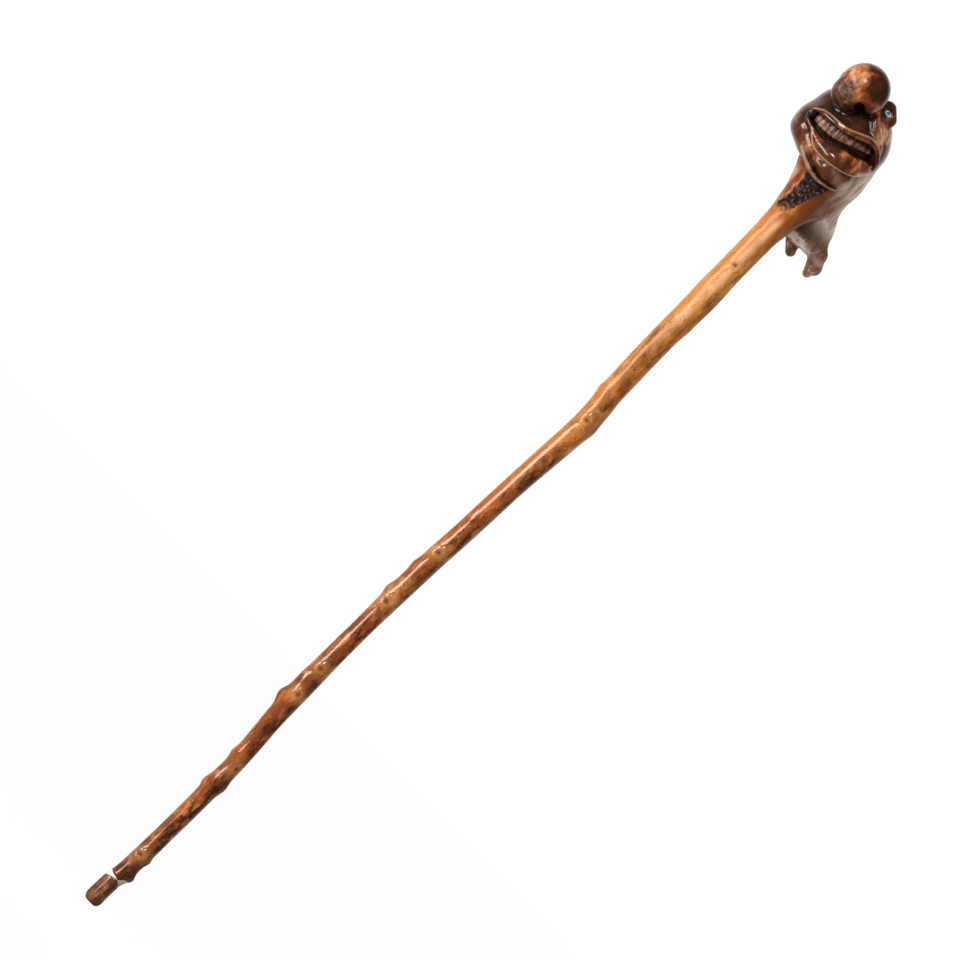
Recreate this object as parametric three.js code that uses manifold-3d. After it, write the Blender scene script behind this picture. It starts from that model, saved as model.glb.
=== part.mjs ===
import * as THREE from 'three';
import Module from 'manifold-3d';
import { mergeVertices } from 'three/addons/utils/BufferGeometryUtils.js';

const wasm = await Module();
wasm.setup();

// Driving dimensions, millimetres
const stickLength = 918;
const gripDiameter = 22.4;
const tipDiameter = 15.4;
const flareDiameter = 51;
const swayAcross = 4.8;
const swayDeep = 2.4;
const knotRise = 2.7;
const knotReach = 6;
const headWidth = 80;
const headHeight = 120;
const headDepth = 80;
const headLean = 17.2;
const headForward = 2;
const headDrop = 62;
const noseWidth = 42;
const noseDepth = 40;
const noseHeight = 43.2;
const nostrilDiameter = 9.2;
const lipHalf = 3.4;
const lipFull = 6.2;
const foldHalf = 4.6;
const jawHalf = 2.8;
const mouthDepth = 7;
const toothWidth = 5.8;
const toothSink = 1;
const toothGroove = 1.6;
const toothThick = 6;
const toothGap = 0.4;
const eyeLength = 7.2;
const eyeHeight = 4.8;
const eyeDepth = 4.4;
const eyeBowl = 6.4;
const irisDiameter = 3.2;
const irisRim = 0.5;
const irisCrown = 0.5;
const irisSink = 0.9;
const seatGap = 0.3;

// Softness of the joins between carved masses
const massSoft = 7;
const rootSoft = 9;
const foldSoft = 3.4;
const lobeSoft = 4;
const hoodSoft = 3;
const edgeSoft = 2.4;
const creaseSoft = 1.4;

// End piece, collar and dowel
const footLength = 22;
const footRound = 6.4;
const footBulge = 15.9;
const footFlat = 7;
const footReach = 12;
const lineReach = 7.8;
const pinchHeight = 28.2;
const pinchShift = 3.6;
const collarLeft = 7;
const collarRight = 8;
const collarPinch = 1.2;
const dowelDiameter = 6;
const dowelLength = 36;
const dowelChamfer = 0.6;
const dowelShift = 0.6;

// Mesh steps
const shaftStep = 16;
const fineStep = 3.2;
const coarseStep = 6;
const ringLeast = 1.5;
const shaftSides = 16;
const dowelSides = 20;
const whiteSides = 16;
const irisSides = 14;
const irisSteps = 3;
const toothSides = 8;
const toothRings = 5;
const bowSegments = 5;

// Shares and counts of the foot
const footRoundShares = [0, 0.1, 0.3, 0.6, 1];
const collarLowShare = 0.46;
const bowShare = 0.35;
const knotRingShares = [-1.1, 0, 1.1];

// Colours and finish
const woodColor = new THREE.Color(0xa8602c);
const woodDark = new THREE.Color(0x5c3018);
const dowelColor = new THREE.Color(0xc8a070);
const boneColor = new THREE.Color(0xe0d8c4);
const irisColor = new THREE.Color(0x2f7f86);
const varnishRough = 0.3;
const boneRough = 0.4;
const dowelRough = 0.8;
const irisRough = 0.15;

const turn = Math.PI * 2;

// Line of the shaft: height share of the stick length against sway and thickness shares
const swayShares = [
  [0.0, 0.0], [0.026, 0.0], [0.038, 0.35], [0.06, 0.54], [0.14, 0.54], [0.18, 0.35],
  [0.242, -0.67], [0.3, -0.92], [0.37, -1.0], [0.42, -0.8], [0.46, -0.5], [0.52, -0.15],
  [0.57, 0.35], [0.601, 0.6], [0.62, 0.35], [0.635, 0.0], [0.7, -0.45], [0.74, -0.46],
  [0.78, -0.75], [0.83, -0.92], [0.859, -0.78], [0.87, -0.5], [0.88, -0.25], [0.889, -0.42],
  [0.898, -0.75], [0.91, -0.85],
];
const depthShares = [
  [0.0, 0.0], [0.1, 0.5], [0.24, -0.4], [0.38, 0.6], [0.55, -0.5], [0.62, 0.4], [0.75, -0.6],
  [0.84, 0.1], [0.91, 0.6],
];
const thickShares = [
  [0.0, 0.0], [0.14, 0.05], [0.22, 0.15], [0.265, 0.4], [0.3, 0.2], [0.35, 0.2], [0.385, 0.36],
  [0.52, 0.38], [0.6, 0.68], [0.66, 0.72], [0.72, 0.86], [0.757, 1.12], [0.78, 0.96], [0.825, 1.0],
];
// Flare under the head: height share against the share between grip and flare diameter
const flareShares = [
  [0.8275, 0.0], [0.838, 0.07], [0.8484, 0.14], [0.859, 0.3], [0.87, 0.53], [0.88, 0.83],
  [0.889, 1.0], [0.898, 1.18], [0.903, 1.18], [0.9085, 1.0],
];
const flareDepthShare = 0.8;

// Knots and nubs: height on the stick, turn round it, rise, half length along it, half width as a turn
const knotShares = [
  { height: 0.0395, turn: 0.0, rise: 1.0, reach: 0.8, spread: 0.089 },
  { height: 0.0605, turn: 0.0, rise: 0.5, reach: 0.6, spread: 0.089 },
  { height: 0.0605, turn: -0.28, rise: 0.5, reach: 0.9, spread: 0.13 },
  { height: 0.072, turn: -0.16, rise: 0.25, reach: 1.3, spread: 0.13 },
  { height: 0.147, turn: 0.5, rise: 0.65, reach: 0.9, spread: 0.083 },
  { height: 0.152, turn: 0.0, rise: 0.6, reach: 1.0, spread: 0.083 },
  { height: 0.153, turn: -0.3, rise: 0.55, reach: 1.4, spread: 0.15 },
  { height: 0.182, turn: 0.5, rise: 0.45, reach: 0.8, spread: 0.111 },
  { height: 0.184, turn: -0.33, rise: 0.35, reach: 1.3, spread: 0.12 },
  { height: 0.247, turn: 0.5, rise: 1.15, reach: 1.15, spread: 0.09 },
  { height: 0.246, turn: -0.25, rise: 0.35, reach: 2.2, spread: 0.16 },
  { height: 0.256, turn: -0.23, rise: 0.4, reach: 0.9, spread: 0.1 },
  { height: 0.27, turn: -0.36, rise: 0.4, reach: 1.2, spread: 0.11 },
  { height: 0.286, turn: -0.25, rise: 0.4, reach: 0.9, spread: 0.12 },
  { height: 0.368, turn: -0.28, rise: 0.4, reach: 1.0, spread: 0.12 },
  { height: 0.378, turn: 0.5, rise: 0.6, reach: 0.9, spread: 0.106 },
  { height: 0.409, turn: 0.5, rise: 0.4, reach: 0.9, spread: 0.106 },
  { height: 0.43, turn: -0.27, rise: 0.42, reach: 1.0, spread: 0.12 },
  { height: 0.598, turn: 0.0, rise: 0.35, reach: 1.2, spread: 0.139 },
  { height: 0.632, turn: 0.5, rise: 0.35, reach: 1.0, spread: 0.139 },
  { height: 0.79, turn: -0.25, rise: 0.2, reach: 0.9, spread: 0.083 },
];
const knotEdgeShare = 2;

// Smooth curve through share points
function curveThrough(points) {
  const last = points.length - 1;
  return (x) => {
    if (x <= points[0][0]) return points[0][1];
    if (x >= points[last][0]) return points[last][1];
    let i = 0;
    while (x > points[i + 1][0]) i += 1;
    const [x0, y0] = points[i];
    const [x1, y1] = points[i + 1];
    const before = points[Math.max(i - 1, 0)];
    const after = points[Math.min(i + 2, last)];
    const width = x1 - x0;
    const slope0 = (y1 - before[1]) / (x1 - before[0] || 1);
    const slope1 = (after[1] - y0) / (after[0] - x0 || 1);
    const f = (x - x0) / width;
    const rise = y1 - y0;
    const a = slope0 * width - rise;
    const b = rise - slope1 * width;
    return y0 + f * rise + f * (1 - f) * (a * (1 - f) + b * f);
  };
}
const swayOf = curveThrough(swayShares);
const depthOf = curveThrough(depthShares);
const thickOf = curveThrough(thickShares);
const flareOf = curveThrough(flareShares);

// Ring of the shaft at a height: its centre and its half width, with the knots on it
function shaftCentre(z) {
  const share = z / stickLength;
  return [swayOf(share) * swayAcross, depthOf(share) * swayDeep];
}
function shaftRadius(z, angle) {
  const share = z / stickLength;
  const plain = THREE.MathUtils.lerp(tipDiameter, gripDiameter, thickOf(share)) / 2;
  const flare = flareOf(share) * (flareDiameter - gripDiameter) / 2;
  const deep = Math.sin(angle) ** 2;
  const side = THREE.MathUtils.lerp(1, flareDepthShare, deep * Math.min(flareOf(share), 1));
  let radius = (plain + flare) * side;
  for (const knot of knotShares) {
    const along = (z - knot.height * stickLength) / (knot.reach * knotReach);
    if (Math.abs(along) > knotEdgeShare) continue;
    const off = angle - knot.turn * turn;
    const across = Math.atan2(Math.sin(off), Math.cos(off)) / (knot.spread * turn);
    radius += knot.rise * knotRise * Math.exp(-along * along - across * across);
  }
  return radius;
}

// Loft through rings of points, closed at both ends
function loft(rings) {
  const sides = rings[0].length;
  const positions = [];
  for (const ring of rings) for (const point of ring) positions.push(...point);
  const middle = (ring) => {
    const sum = [0, 0, 0];
    for (const point of ring) for (let axis = 0; axis < 3; axis += 1) sum[axis] += point[axis] / sides;
    return sum;
  };
  const low = positions.length / 3;
  positions.push(...middle(rings[0]));
  const high = low + 1;
  positions.push(...middle(rings[rings.length - 1]));
  const index = [];
  for (let r = 0; r < rings.length - 1; r += 1) {
    for (let i = 0; i < sides; i += 1) {
      const j = (i + 1) % sides;
      const a = r * sides + i;
      const b = r * sides + j;
      index.push(a, b, b + sides, a, b + sides, a + sides);
    }
  }
  const top = (rings.length - 1) * sides;
  for (let i = 0; i < sides; i += 1) {
    const j = (i + 1) % sides;
    index.push(low, j, i);
    index.push(high, top + i, top + j);
  }
  const geometry = new THREE.BufferGeometry();
  geometry.setAttribute('position', new THREE.Float32BufferAttribute(positions, 3));
  geometry.setIndex(index);
  return geometry;
}

function solidOf(geometry) {
  const bare = geometry.clone();
  bare.deleteAttribute('normal');
  bare.deleteAttribute('uv');
  const merged = mergeVertices(bare);
  const mesh = new wasm.Mesh({
    numProp: 3,
    vertProperties: new Float32Array(merged.attributes.position.array),
    triVerts: new Uint32Array(merged.index.array),
  });
  return new wasm.Manifold(mesh);
}

function geometryOf(solid) {
  const mesh = solid.getMesh();
  const geometry = new THREE.BufferGeometry();
  const positions = new THREE.Float32BufferAttribute(mesh.vertProperties, 3);
  geometry.setAttribute('position', positions);
  geometry.setIndex(Array.from(mesh.triVerts));
  geometry.computeVertexNormals();
  return geometry;
}

// Head: all places are shares of its width, depth and height from its middle
const headX = -headLean;
const headY = -headForward;
const headZ = stickLength - headDrop;
const spot = (xShare, yShare, zShare) => [
  headX + xShare * headWidth,
  headY + yShare * headDepth,
  headZ + zShare * headHeight,
];

// Distance to an ellipsoid given by centre and half axes
function ellipsoid(centre, half) {
  return (x, y, z) => {
    const dx = (x - centre[0]) / half[0];
    const dy = (y - centre[1]) / half[1];
    const dz = (z - centre[2]) / half[2];
    const unit = Math.sqrt(dx * dx + dy * dy + dz * dz);
    const slope = Math.hypot(dx / half[0], dy / half[1], dz / half[2]);
    return slope === 0 ? -Math.min(...half) : unit * (unit - 1) / slope;
  };
}

// Distance to a tapered limb with round ends
function limb(from, to, fromRadius, toRadius) {
  const ax = to[0] - from[0];
  const ay = to[1] - from[1];
  const az = to[2] - from[2];
  const length = ax * ax + ay * ay + az * az;
  return (x, y, z) => {
    const px = x - from[0];
    const py = y - from[1];
    const pz = z - from[2];
    const f = THREE.MathUtils.clamp((px * ax + py * ay + pz * az) / length, 0, 1);
    const radius = THREE.MathUtils.lerp(fromRadius, toRadius, f);
    return Math.hypot(px - f * ax, py - f * ay, pz - f * az) - radius;
  };
}

function join(a, b, soft) {
  const h = Math.max(soft - Math.abs(a - b), 0) / soft;
  return Math.min(a, b) - h * h * soft / 4;
}
const carve = (a, b, soft) => -join(-a, b, soft);

// Ellipsoid placed and sized in shares of the head
const bulk = ({ at, half: [wide, deep, high] }) => ellipsoid(
  spot(...at), [wide * headWidth, deep * headDepth, high * headHeight],
);
// Limb between two places, its end radii as shares of the head width
const branch = ({ from, to, ends: [thick, thin] }) => limb(
  spot(...from), spot(...to), thick * headWidth, thin * headWidth,
);
const joined = (fields, soft) => (x, y, z) => fields
  .map((field) => field(x, y, z)).reduce((one, two) => join(one, two, soft));

// Crown and jowls of the root head
const skinShares = [
  { at: [-0.01, 0, 0.08], half: [0.45, 0.45, 0.29] },
  { at: [0, -0.05, -0.045], half: [0.5, 0.42, 0.19] },
  { at: [0.24, 0.06, -0.17], half: [0.27, 0.33, 0.22] },
  { at: [0.02, -0.22, 0.02], half: [0.4, 0.31, 0.16] },
  { at: [0.19, -0.08, 0.085], half: [0.27, 0.3, 0.15] },
  { at: [-0.13, -0.14, -0.18], half: [0.19, 0.3, 0.085] },
];
const chinShares = { at: [0.125, -0.3, -0.175], half: [0.27, 0.27, 0.135] };
const hollowShares = { at: [-0.16, -0.6, 0.128], half: [0.26, 0.13, 0.042] };
const hoodShares = [
  { from: [0.12, -0.16, 0.36], to: [0.205, -0.15, 0.32], ends: [0.092, 0.078] },
  { from: [-0.37, -0.04, 0.315], to: [-0.36, -0.04, 0.27], ends: [0.09, 0.078] },
];
const crown = joined(skinShares.map(bulk), massSoft);
const chin = bulk(chinShares);
const hollow = bulk(hollowShares);
const hoods = hoodShares.map(branch);

// Root that leans back and to the side behind the shaft, cut flat below, with its stubs
const rootShares = [
  { from: [0.26, 0, -0.2], to: [0.29, 0.12, -0.37], ends: [0.25, 0.17] },
  { from: [0.24, 0.2, -0.2], to: [0.37, 0.34, -0.48], ends: [0.285, 0.19] },
  { from: [0.4, 0.4, -0.53], to: [0.4, 0.4, -0.59], ends: [0.24, 0.24] },
  { from: [0.48, 0.4, -0.56], to: [0.68, 0.46, -0.64], ends: [0.12, 0.09] },
];
const stubShares = [
  { from: [0.66, 0.46, -0.64], to: [0.735, 0.48, -0.72], ends: [0.09, 0.085] },
  { from: [0.72, 0.48, -0.74], to: [0.725, 0.48, -0.78], ends: [0.06, 0.045] },
  { from: [0.37, 0.4, -0.67], to: [0.455, 0.46, -0.757], ends: [0.085, 0.055] },
];
const rootFloorShare = -0.7;
const rootMass = joined(rootShares.map(branch), rootSoft);
const stubs = joined(stubShares.map(branch), edgeSoft);
const rootFloor = headZ + rootFloorShare * headHeight;
function rootField(x, y, z) {
  const root = carve(rootMass(x, y, z), z - rootFloor, edgeSoft);
  return join(root, stubs(x, y, z), edgeSoft);
}

// Ball of the nose cut off along a line below, with its lobe, its root between the eyes, and the nostril
const noseShares = [-0.19, -0.42, 0.34];
const noseLobeShares = { at: [-0.27, -0.44, 0.235], half: [0.17, 0.18, 0.105] };
const noseRootShares = { from: [-0.14, -0.05, 0.24], to: [-0.16, -0.3, 0.33], ends: [0.2, 0.2] };
const nostrilShares = { from: [-0.08, -0.75, 0.215], to: [-0.095, -0.3, 0.25] };
const noseBaseShares = [
  [-0.5, 0.05], [-0.34, 0.1], [-0.27, 0.135], [-0.2, 0.185], [-0.13, 0.23], [-0.04, 0.243],
  [0.05, 0.255], [0.2, 0.28],
];
const noseBall = ellipsoid(spot(...noseShares), [noseWidth / 2, noseDepth / 2, noseHeight / 2]);
const noseLobe = bulk(noseLobeShares);
const noseRoot = branch(noseRootShares);
const noseBase = curveThrough(noseBaseShares);
const nostril = limb(
  spot(...nostrilShares.from), spot(...nostrilShares.to), nostrilDiameter / 2, nostrilDiameter / 2,
);
function noseField(x, y, z) {
  const ball = join(noseBall(x, y, z), noseRoot(x, y, z), massSoft);
  const base = headZ + headHeight * noseBase((x - headX) / headWidth);
  return carve(ball, z - base, creaseSoft);
}

// Chart of the face: arc round the upright axis of the head, and height
const faceRadius = headWidth / 2;
const chart = (x, y, z) => [faceRadius * Math.atan2(x - headX, headY - y), z - headZ];
const onChart = ([xShare, zShare]) => [faceRadius * Math.asin(xShare * 2), zShare * headHeight];

// Line carved on the face: places on the chart with the share of its half width there
const lineSteps = 3;
function faceLine(shares, half, squash = 1) {
  const points = shares.map(([xShare, zShare, halfShare]) => (
    new THREE.Vector3(...onChart([xShare, zShare]), halfShare * half)
  ));
  const steps = new THREE.CatmullRomCurve3(points).getPoints(points.length * lineSteps);
  return (u, h, lift) => {
    let best = Infinity;
    for (let i = 0; i < steps.length - 1; i += 1) {
      const a = steps[i];
      const b = steps[i + 1];
      const bx = b.x - a.x;
      const by = b.y - a.y;
      const f = THREE.MathUtils.clamp(((u - a.x) * bx + (h - a.y) * by) / (bx * bx + by * by), 0, 1);
      const flat = Math.hypot(u - a.x - f * bx, h - a.y - f * by);
      best = Math.min(best, Math.hypot(flat, squash * lift) - THREE.MathUtils.lerp(a.z, b.z, f));
    }
    return best;
  };
}
const upperLipShares = [
  [-0.38, 0.01, 0.6], [-0.31, 0.033, 0.85], [-0.22, 0.043, 1], [-0.11, 0.053, 1.1], [-0.01, 0.063, 1.15],
  [0.09, 0.09, 1.2], [0.19, 0.12, 1.2], [0.27, 0.127, 1.15], [0.33, 0.11, 1], [0.39, 0.067, 0.85],
  [0.425, 0.013, 0.7], [0.415, -0.033, 0.5],
];
const lowerLipShares = [
  [-0.23, -0.113, 0.5], [-0.11, -0.129, 0.85], [-0.01, -0.123, 1.05], [0.09, -0.109, 1.15],
  [0.19, -0.089, 1.2], [0.29, -0.062, 1.15], [0.35, -0.04, 1], [0.39, -0.027, 0.7],
];
const cornerRimShares = [
  [-0.38, 0.013, 0.6], [-0.39, -0.027, 0.75], [-0.34, -0.07, 0.75], [-0.25, -0.097, 0.6],
];
const jawShares = [
  [-0.25, -0.227, 0.6], [-0.12, -0.265, 1], [-0.02, -0.289, 1], [0.1, -0.305, 0.9],
  [0.22, -0.299, 0.8], [0.33, -0.272, 0.6],
];
const cheekFoldShares = [
  [0.08, 0.333, 0.8], [0.14, 0.267, 1], [0.22, 0.213, 1.1], [0.3, 0.167, 1], [0.36, 0.127, 0.6],
];
const lipSquash = 1.25;
const lips = [
  faceLine(upperLipShares, lipHalf), faceLine(lowerLipShares, lipFull, lipSquash),
  faceLine(cornerRimShares, lipHalf), faceLine(jawShares, jawHalf),
];
const cheekFold = faceLine(cheekFoldShares, foldHalf);

// Mouth: upper and lower edge of the opening, and the lower edge of the teeth, along the face
const mouthTopShares = [
  [-0.38, 0], [-0.33, 0.013], [-0.26, 0.019], [-0.21, 0.02], [-0.11, 0.035], [-0.01, 0.047],
  [0.09, 0.07], [0.19, 0.097], [0.27, 0.107], [0.33, 0.093], [0.38, 0.053], [0.41, 0.013],
];
const mouthBottomShares = [
  [-0.38, -0.01], [-0.36, -0.043], [-0.29, -0.067], [-0.21, -0.08], [-0.13, -0.081], [-0.01, -0.064],
  [0.09, -0.045], [0.19, -0.022], [0.29, 0], [0.36, 0.018], [0.41, 0.01],
];
const toothEdgeShares = [
  [-0.33, -0.04], [-0.26, -0.047], [-0.11, -0.04], [-0.01, -0.027], [0.09, 0], [0.19, 0.027],
  [0.29, 0.055], [0.33, 0.068],
];
const mouthTop = curveThrough(mouthTopShares.map(onChart));
const mouthBottom = curveThrough(mouthBottomShares.map(onChart));
const toothEdge = curveThrough(toothEdgeShares.map(onChart));
const mouthEndShares = [-0.38, 0.4];
const teethEndShares = [-0.335, 0.315];
const [mouthLeft, mouthRight] = mouthEndShares.map((share) => onChart([share, 0])[0]);
const [teethLeft, teethRight] = teethEndShares.map((share) => onChart([share, 0])[0]);

// Opening of the mouth, and the carved wall in it that holds the teeth
const wallEdgeShare = 0.35;
function mouthField(u, h, skin) {
  const tall = Math.max(h - mouthTop(u), mouthBottom(u) - h);
  const wide = Math.max(mouthLeft - u, u - mouthRight);
  return Math.max(tall, wide, -(skin + mouthDepth));
}
function wallField(u, h, skin) {
  const edge = THREE.MathUtils.lerp(toothEdge(u), mouthTop(u), wallEdgeShare);
  const tall = Math.max(edge - h, h - mouthTop(u) - lipHalf);
  const wide = Math.max(teethLeft - u, u - teethRight);
  return Math.max(tall, wide, skin + toothSink + toothGroove, -(skin + mouthDepth + lipHalf));
}

// Eyes: a bowl, an almond white and a bead, all set along the same outward line
const eyeShares = [
  { name: 'right', at: [0.15, -0.208, 0.341], out: [0.337, -0.833, 0.438] },
  { name: 'left', at: [-0.36, -0.16, 0.29], out: [-0.69, -0.62, 0.375] },
];
const bowlHalfShares = [1, 0.8, 0.82];
const bowlLiftShare = 0.8;
const eyes = eyeShares.map(({ name, at, out }) => {
  const outward = new THREE.Vector3(...out).normalize();
  const side = new THREE.Vector3(0, 0, 1).cross(outward).normalize();
  const up = new THREE.Vector3().crossVectors(outward, side);
  const place = new THREE.Vector3(...spot(...at));
  const matrix = new THREE.Matrix4().makeBasis(side, up, outward).setPosition(place);
  const centre = place.addScaledVector(outward, bowlLiftShare * eyeBowl);
  const bowl = ellipsoid(centre.toArray(), bowlHalfShares.map((share) => share * eyeBowl));
  return { name, matrix, bowl };
});

const skinField = (x, y, z) => join(crown(x, y, z), chin(x, y, z), massSoft);

function headField(x, y, z) {
  const bare = crown(x, y, z);
  const chinHere = chin(x, y, z);
  const skin = skinField(x, y, z);
  let field = join(bare, rootField(x, y, z), rootSoft);
  field = join(field, noseField(x, y, z), creaseSoft);
  field = join(field, noseLobe(x, y, z), lobeSoft);
  for (const hood of hoods) field = join(field, hood(x, y, z), hoodSoft);
  field = join(field, chinHere, edgeSoft);
  field = carve(field, hollow(x, y, z), hoodSoft);
  if (y < headY) {
    const [u, h] = chart(x, y, z);
    for (const lip of lips) field = join(field, lip(u, h, skin), creaseSoft);
    field = join(field, cheekFold(u, h, skin), foldSoft);
    field = carve(field, mouthField(u, h, skin), creaseSoft);
    field = join(field, wallField(u, h, skin), creaseSoft / 2);
  }
  for (const eye of eyes) field = carve(field, eye.bowl(x, y, z), edgeSoft);
  return carve(field, nostril(x, y, z), creaseSoft);
}

// Steps along one axis, fine between two marks and coarse outside them
function stepsBetween(low, fineLow, fineHigh, high) {
  const steps = [low];
  while (steps[steps.length - 1] < high) {
    const last = steps[steps.length - 1];
    const fine = last >= fineLow && last < fineHigh;
    steps.push(last + (fine ? fineStep : coarseStep));
  }
  return steps;
}

// Cell of the net: a corner's number holds one bit for each axis
const axes = ['x', 'y', 'z'];
const bitOf = (axis) => 1 << axis % axes.length;
const cellCorners = Array.from({ length: 1 << axes.length }, (_, corner) => (
  axes.map((name, axis) => (corner & bitOf(axis) ? 1 : 0))
));
const cellEdges = [];
const edgeOf = new Map();
axes.forEach((name, axis) => {
  for (let low = 0; low < cellCorners.length; low += 1) {
    if (low & bitOf(axis)) continue;
    const high = low | bitOf(axis);
    edgeOf.set(`${low},${high}`, cellEdges.length);
    edgeOf.set(`${high},${low}`, cellEdges.length);
    cellEdges.push([low, high]);
  }
});
// Corners round a side of the cell, square to an axis
const sideRing = (axis, base) => {
  const next = bitOf(axis + 1);
  const last = bitOf(axis + 2);
  return [base, base | next, base | next | last, base | last];
};
const cellFaces = axes
  .flatMap((name, axis) => [sideRing(axis, 0), sideRing(axis, bitOf(axis))])
  .map((ring) => ring.map((corner, i) => ({
    corner, edge: edgeOf.get(`${corner},${ring[(i + 1) % ring.length]}`),
  })));

// Crossed edges of a cell, sorted into the separate sheets of the surface that pass through it
function sheetsOf(corner) {
  const sheet = cellEdges.map(([a, b], edge) => ((corner[a] < 0) !== (corner[b] < 0) ? edge : -1));
  const link = (a, b) => {
    const from = Math.max(sheet[a], sheet[b]);
    const to = Math.min(sheet[a], sheet[b]);
    sheet.forEach((value, edge) => {
      if (value === from) sheet[edge] = to;
    });
  };
  for (const face of cellFaces) {
    const crossed = face.filter(({ edge }) => sheet[edge] >= 0);
    if (crossed.length === 2) link(crossed[0].edge, crossed[1].edge);
    if (crossed.length < face.length) continue;
    face.forEach(({ corner: c, edge }, i) => {
      if (corner[c] < 0) link(edge, face[(i + face.length - 1) % face.length].edge);
    });
  }
  return sheet;
}

// Net over the zero surface of a field: a point for each sheet in each cell, a quad round each crossed edge
function netOver(field, xs, ys, zs) {
  const ny = ys.length;
  const nz = zs.length;
  const at = (i, j, k) => (i * ny + j) * nz + k;
  const values = new Float32Array(xs.length * ny * nz);
  xs.forEach((x, i) => ys.forEach((y, j) => zs.forEach((z, k) => {
    values[at(i, j, k)] = field(x, y, z);
  })));
  const edgeCount = cellEdges.length;
  const pointOf = new Int32Array(values.length * edgeCount).fill(-1);
  const positions = [];
  for (let i = 0; i < xs.length - 1; i += 1) {
    for (let j = 0; j < ny - 1; j += 1) {
      for (let k = 0; k < nz - 1; k += 1) {
        const corner = cellCorners.map(([a, b, c]) => values[at(i + a, j + b, k + c)]);
        if (corner.every((value) => value < 0) || corner.every((value) => value >= 0)) continue;
        const sheet = sheetsOf(corner);
        for (const name of new Set(sheet.filter((value) => value >= 0))) {
          const sum = [0, 0, 0];
          let count = 0;
          sheet.forEach((value, edge) => {
            if (value !== name) return;
            const [a, b] = cellEdges[edge];
            const f = corner[a] / (corner[a] - corner[b]);
            const [ai, aj, ak] = cellCorners[a];
            const [bi, bj, bk] = cellCorners[b];
            sum[0] += THREE.MathUtils.lerp(xs[i + ai], xs[i + bi], f);
            sum[1] += THREE.MathUtils.lerp(ys[j + aj], ys[j + bj], f);
            sum[2] += THREE.MathUtils.lerp(zs[k + ak], zs[k + bk], f);
            count += 1;
            pointOf[at(i, j, k) * edgeCount + edge] = positions.length / 3;
          });
          positions.push(...sum.map((value) => value / count));
        }
      }
    }
  }
  const index = [];
  for (let i = 1; i < xs.length - 1; i += 1) {
    for (let j = 1; j < ny - 1; j += 1) {
      for (let k = 1; k < nz - 1; k += 1) {
        const here = values[at(i, j, k)] < 0;
        axes.forEach((name, axis) => {
          const [a, b, c] = cellCorners[bitOf(axis)];
          if (here === values[at(i + a, j + b, k + c)] < 0) return;
          const quad = sideRing(axis, 0).map((low) => {
            const [p, q, r] = cellCorners[low];
            const edge = edgeOf.get(`${low},${low | bitOf(axis)}`);
            return pointOf[at(i - p, j - q, k - r) * edgeCount + edge];
          });
          if (!here) quad.reverse();
          index.push(quad[0], quad[1], quad[2], quad[0], quad[2], quad[3]);
        });
      }
    }
  }
  const geometry = new THREE.BufferGeometry();
  geometry.setAttribute('position', new THREE.Float32BufferAttribute(positions, 3));
  geometry.setIndex(index);
  return geometry;
}

// Box of the net, and the part of it with the fine steps, as shares of the head
const netLowShares = [-0.8, -1, -0.95];
const netHighShares = [1, 1, 0.62];
const fineLowShares = [-0.52, -1, -0.2];
const fineHighShares = [0.45, 0, 0.44];
function headSolid() {
  const fineLow = spot(...fineLowShares);
  const fineHigh = spot(...fineHighShares);
  const high = spot(...netHighShares);
  const steps = spot(...netLowShares).map((low, axis) => (
    stepsBetween(low, fineLow[axis], fineHigh[axis], high[axis])
  ));
  return solidOf(netOver(headField, ...steps));
}

// Distance of the skin from the upright axis of the head, at a place of the chart
const skinHalvings = 20;
function skinReach(u, h) {
  let inner = 0;
  let outer = headWidth;
  for (let i = 0; i < skinHalvings; i += 1) {
    const reach = (inner + outer) / 2;
    const x = headX + reach * Math.sin(u / faceRadius);
    const y = headY - reach * Math.cos(u / faceRadius);
    if (skinField(x, y, headZ + h) < 0) inner = reach;
    else outer = reach;
  }
  return inner;
}

// Tooth: an upright bead that hangs from under the upper lip, its front just behind the skin
const toothCount = Math.round((teethRight - teethLeft) / toothWidth);
const toothPitch = (teethRight - teethLeft) / toothCount;
function toothSolid(i) {
  const u = teethLeft + (i + 0.5) * toothPitch;
  const top = mouthTop(u);
  const tall = top - toothEdge(u);
  const reach = skinReach(u, top - tall / 2) - toothSink - toothThick / 2;
  const tooth = new THREE.SphereGeometry(1, toothSides, toothRings);
  tooth.rotateX(Math.PI / 2);
  tooth.scale((toothPitch - toothGap) / 2, toothThick / 2, tall);
  tooth.rotateZ(u / faceRadius);
  tooth.translate(
    headX + reach * Math.sin(u / faceRadius), headY - reach * Math.cos(u / faceRadius), headZ + top,
  );
  return solidOf(tooth);
}

// Blank of the whole stick, from the rounded foot to the top of the flare
function blankRadius(z, angle) {
  if (z < footRound) {
    const rise = Math.sqrt(1 - (1 - z / footRound) ** 2);
    return THREE.MathUtils.lerp(footFlat, footBulge, rise) / 2;
  }
  const slim = THREE.MathUtils.smoothstep(z, footRound, footLength);
  return shaftRadius(z, angle) + (footBulge - tipDiameter) / 2 * (1 - slim);
}

function blankHeights() {
  const top = flareShares[flareShares.length - 1][0] * stickLength;
  const heights = footRoundShares.map((share) => share * footRound);
  const count = Math.round((top - footRound) / shaftStep);
  for (let i = 1; i <= count; i += 1) heights.push(THREE.MathUtils.lerp(footRound, top, i / count));
  for (const knot of knotShares) {
    for (const side of knotRingShares) heights.push(knot.height * stickLength + side * knot.reach * knotReach);
  }
  for (const [share] of flareShares) heights.push(share * stickLength);
  heights.sort((one, two) => one - two);
  return heights.filter((z, i) => i === 0 || z < footRound || z - heights[i - 1] > ringLeast);
}

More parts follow.
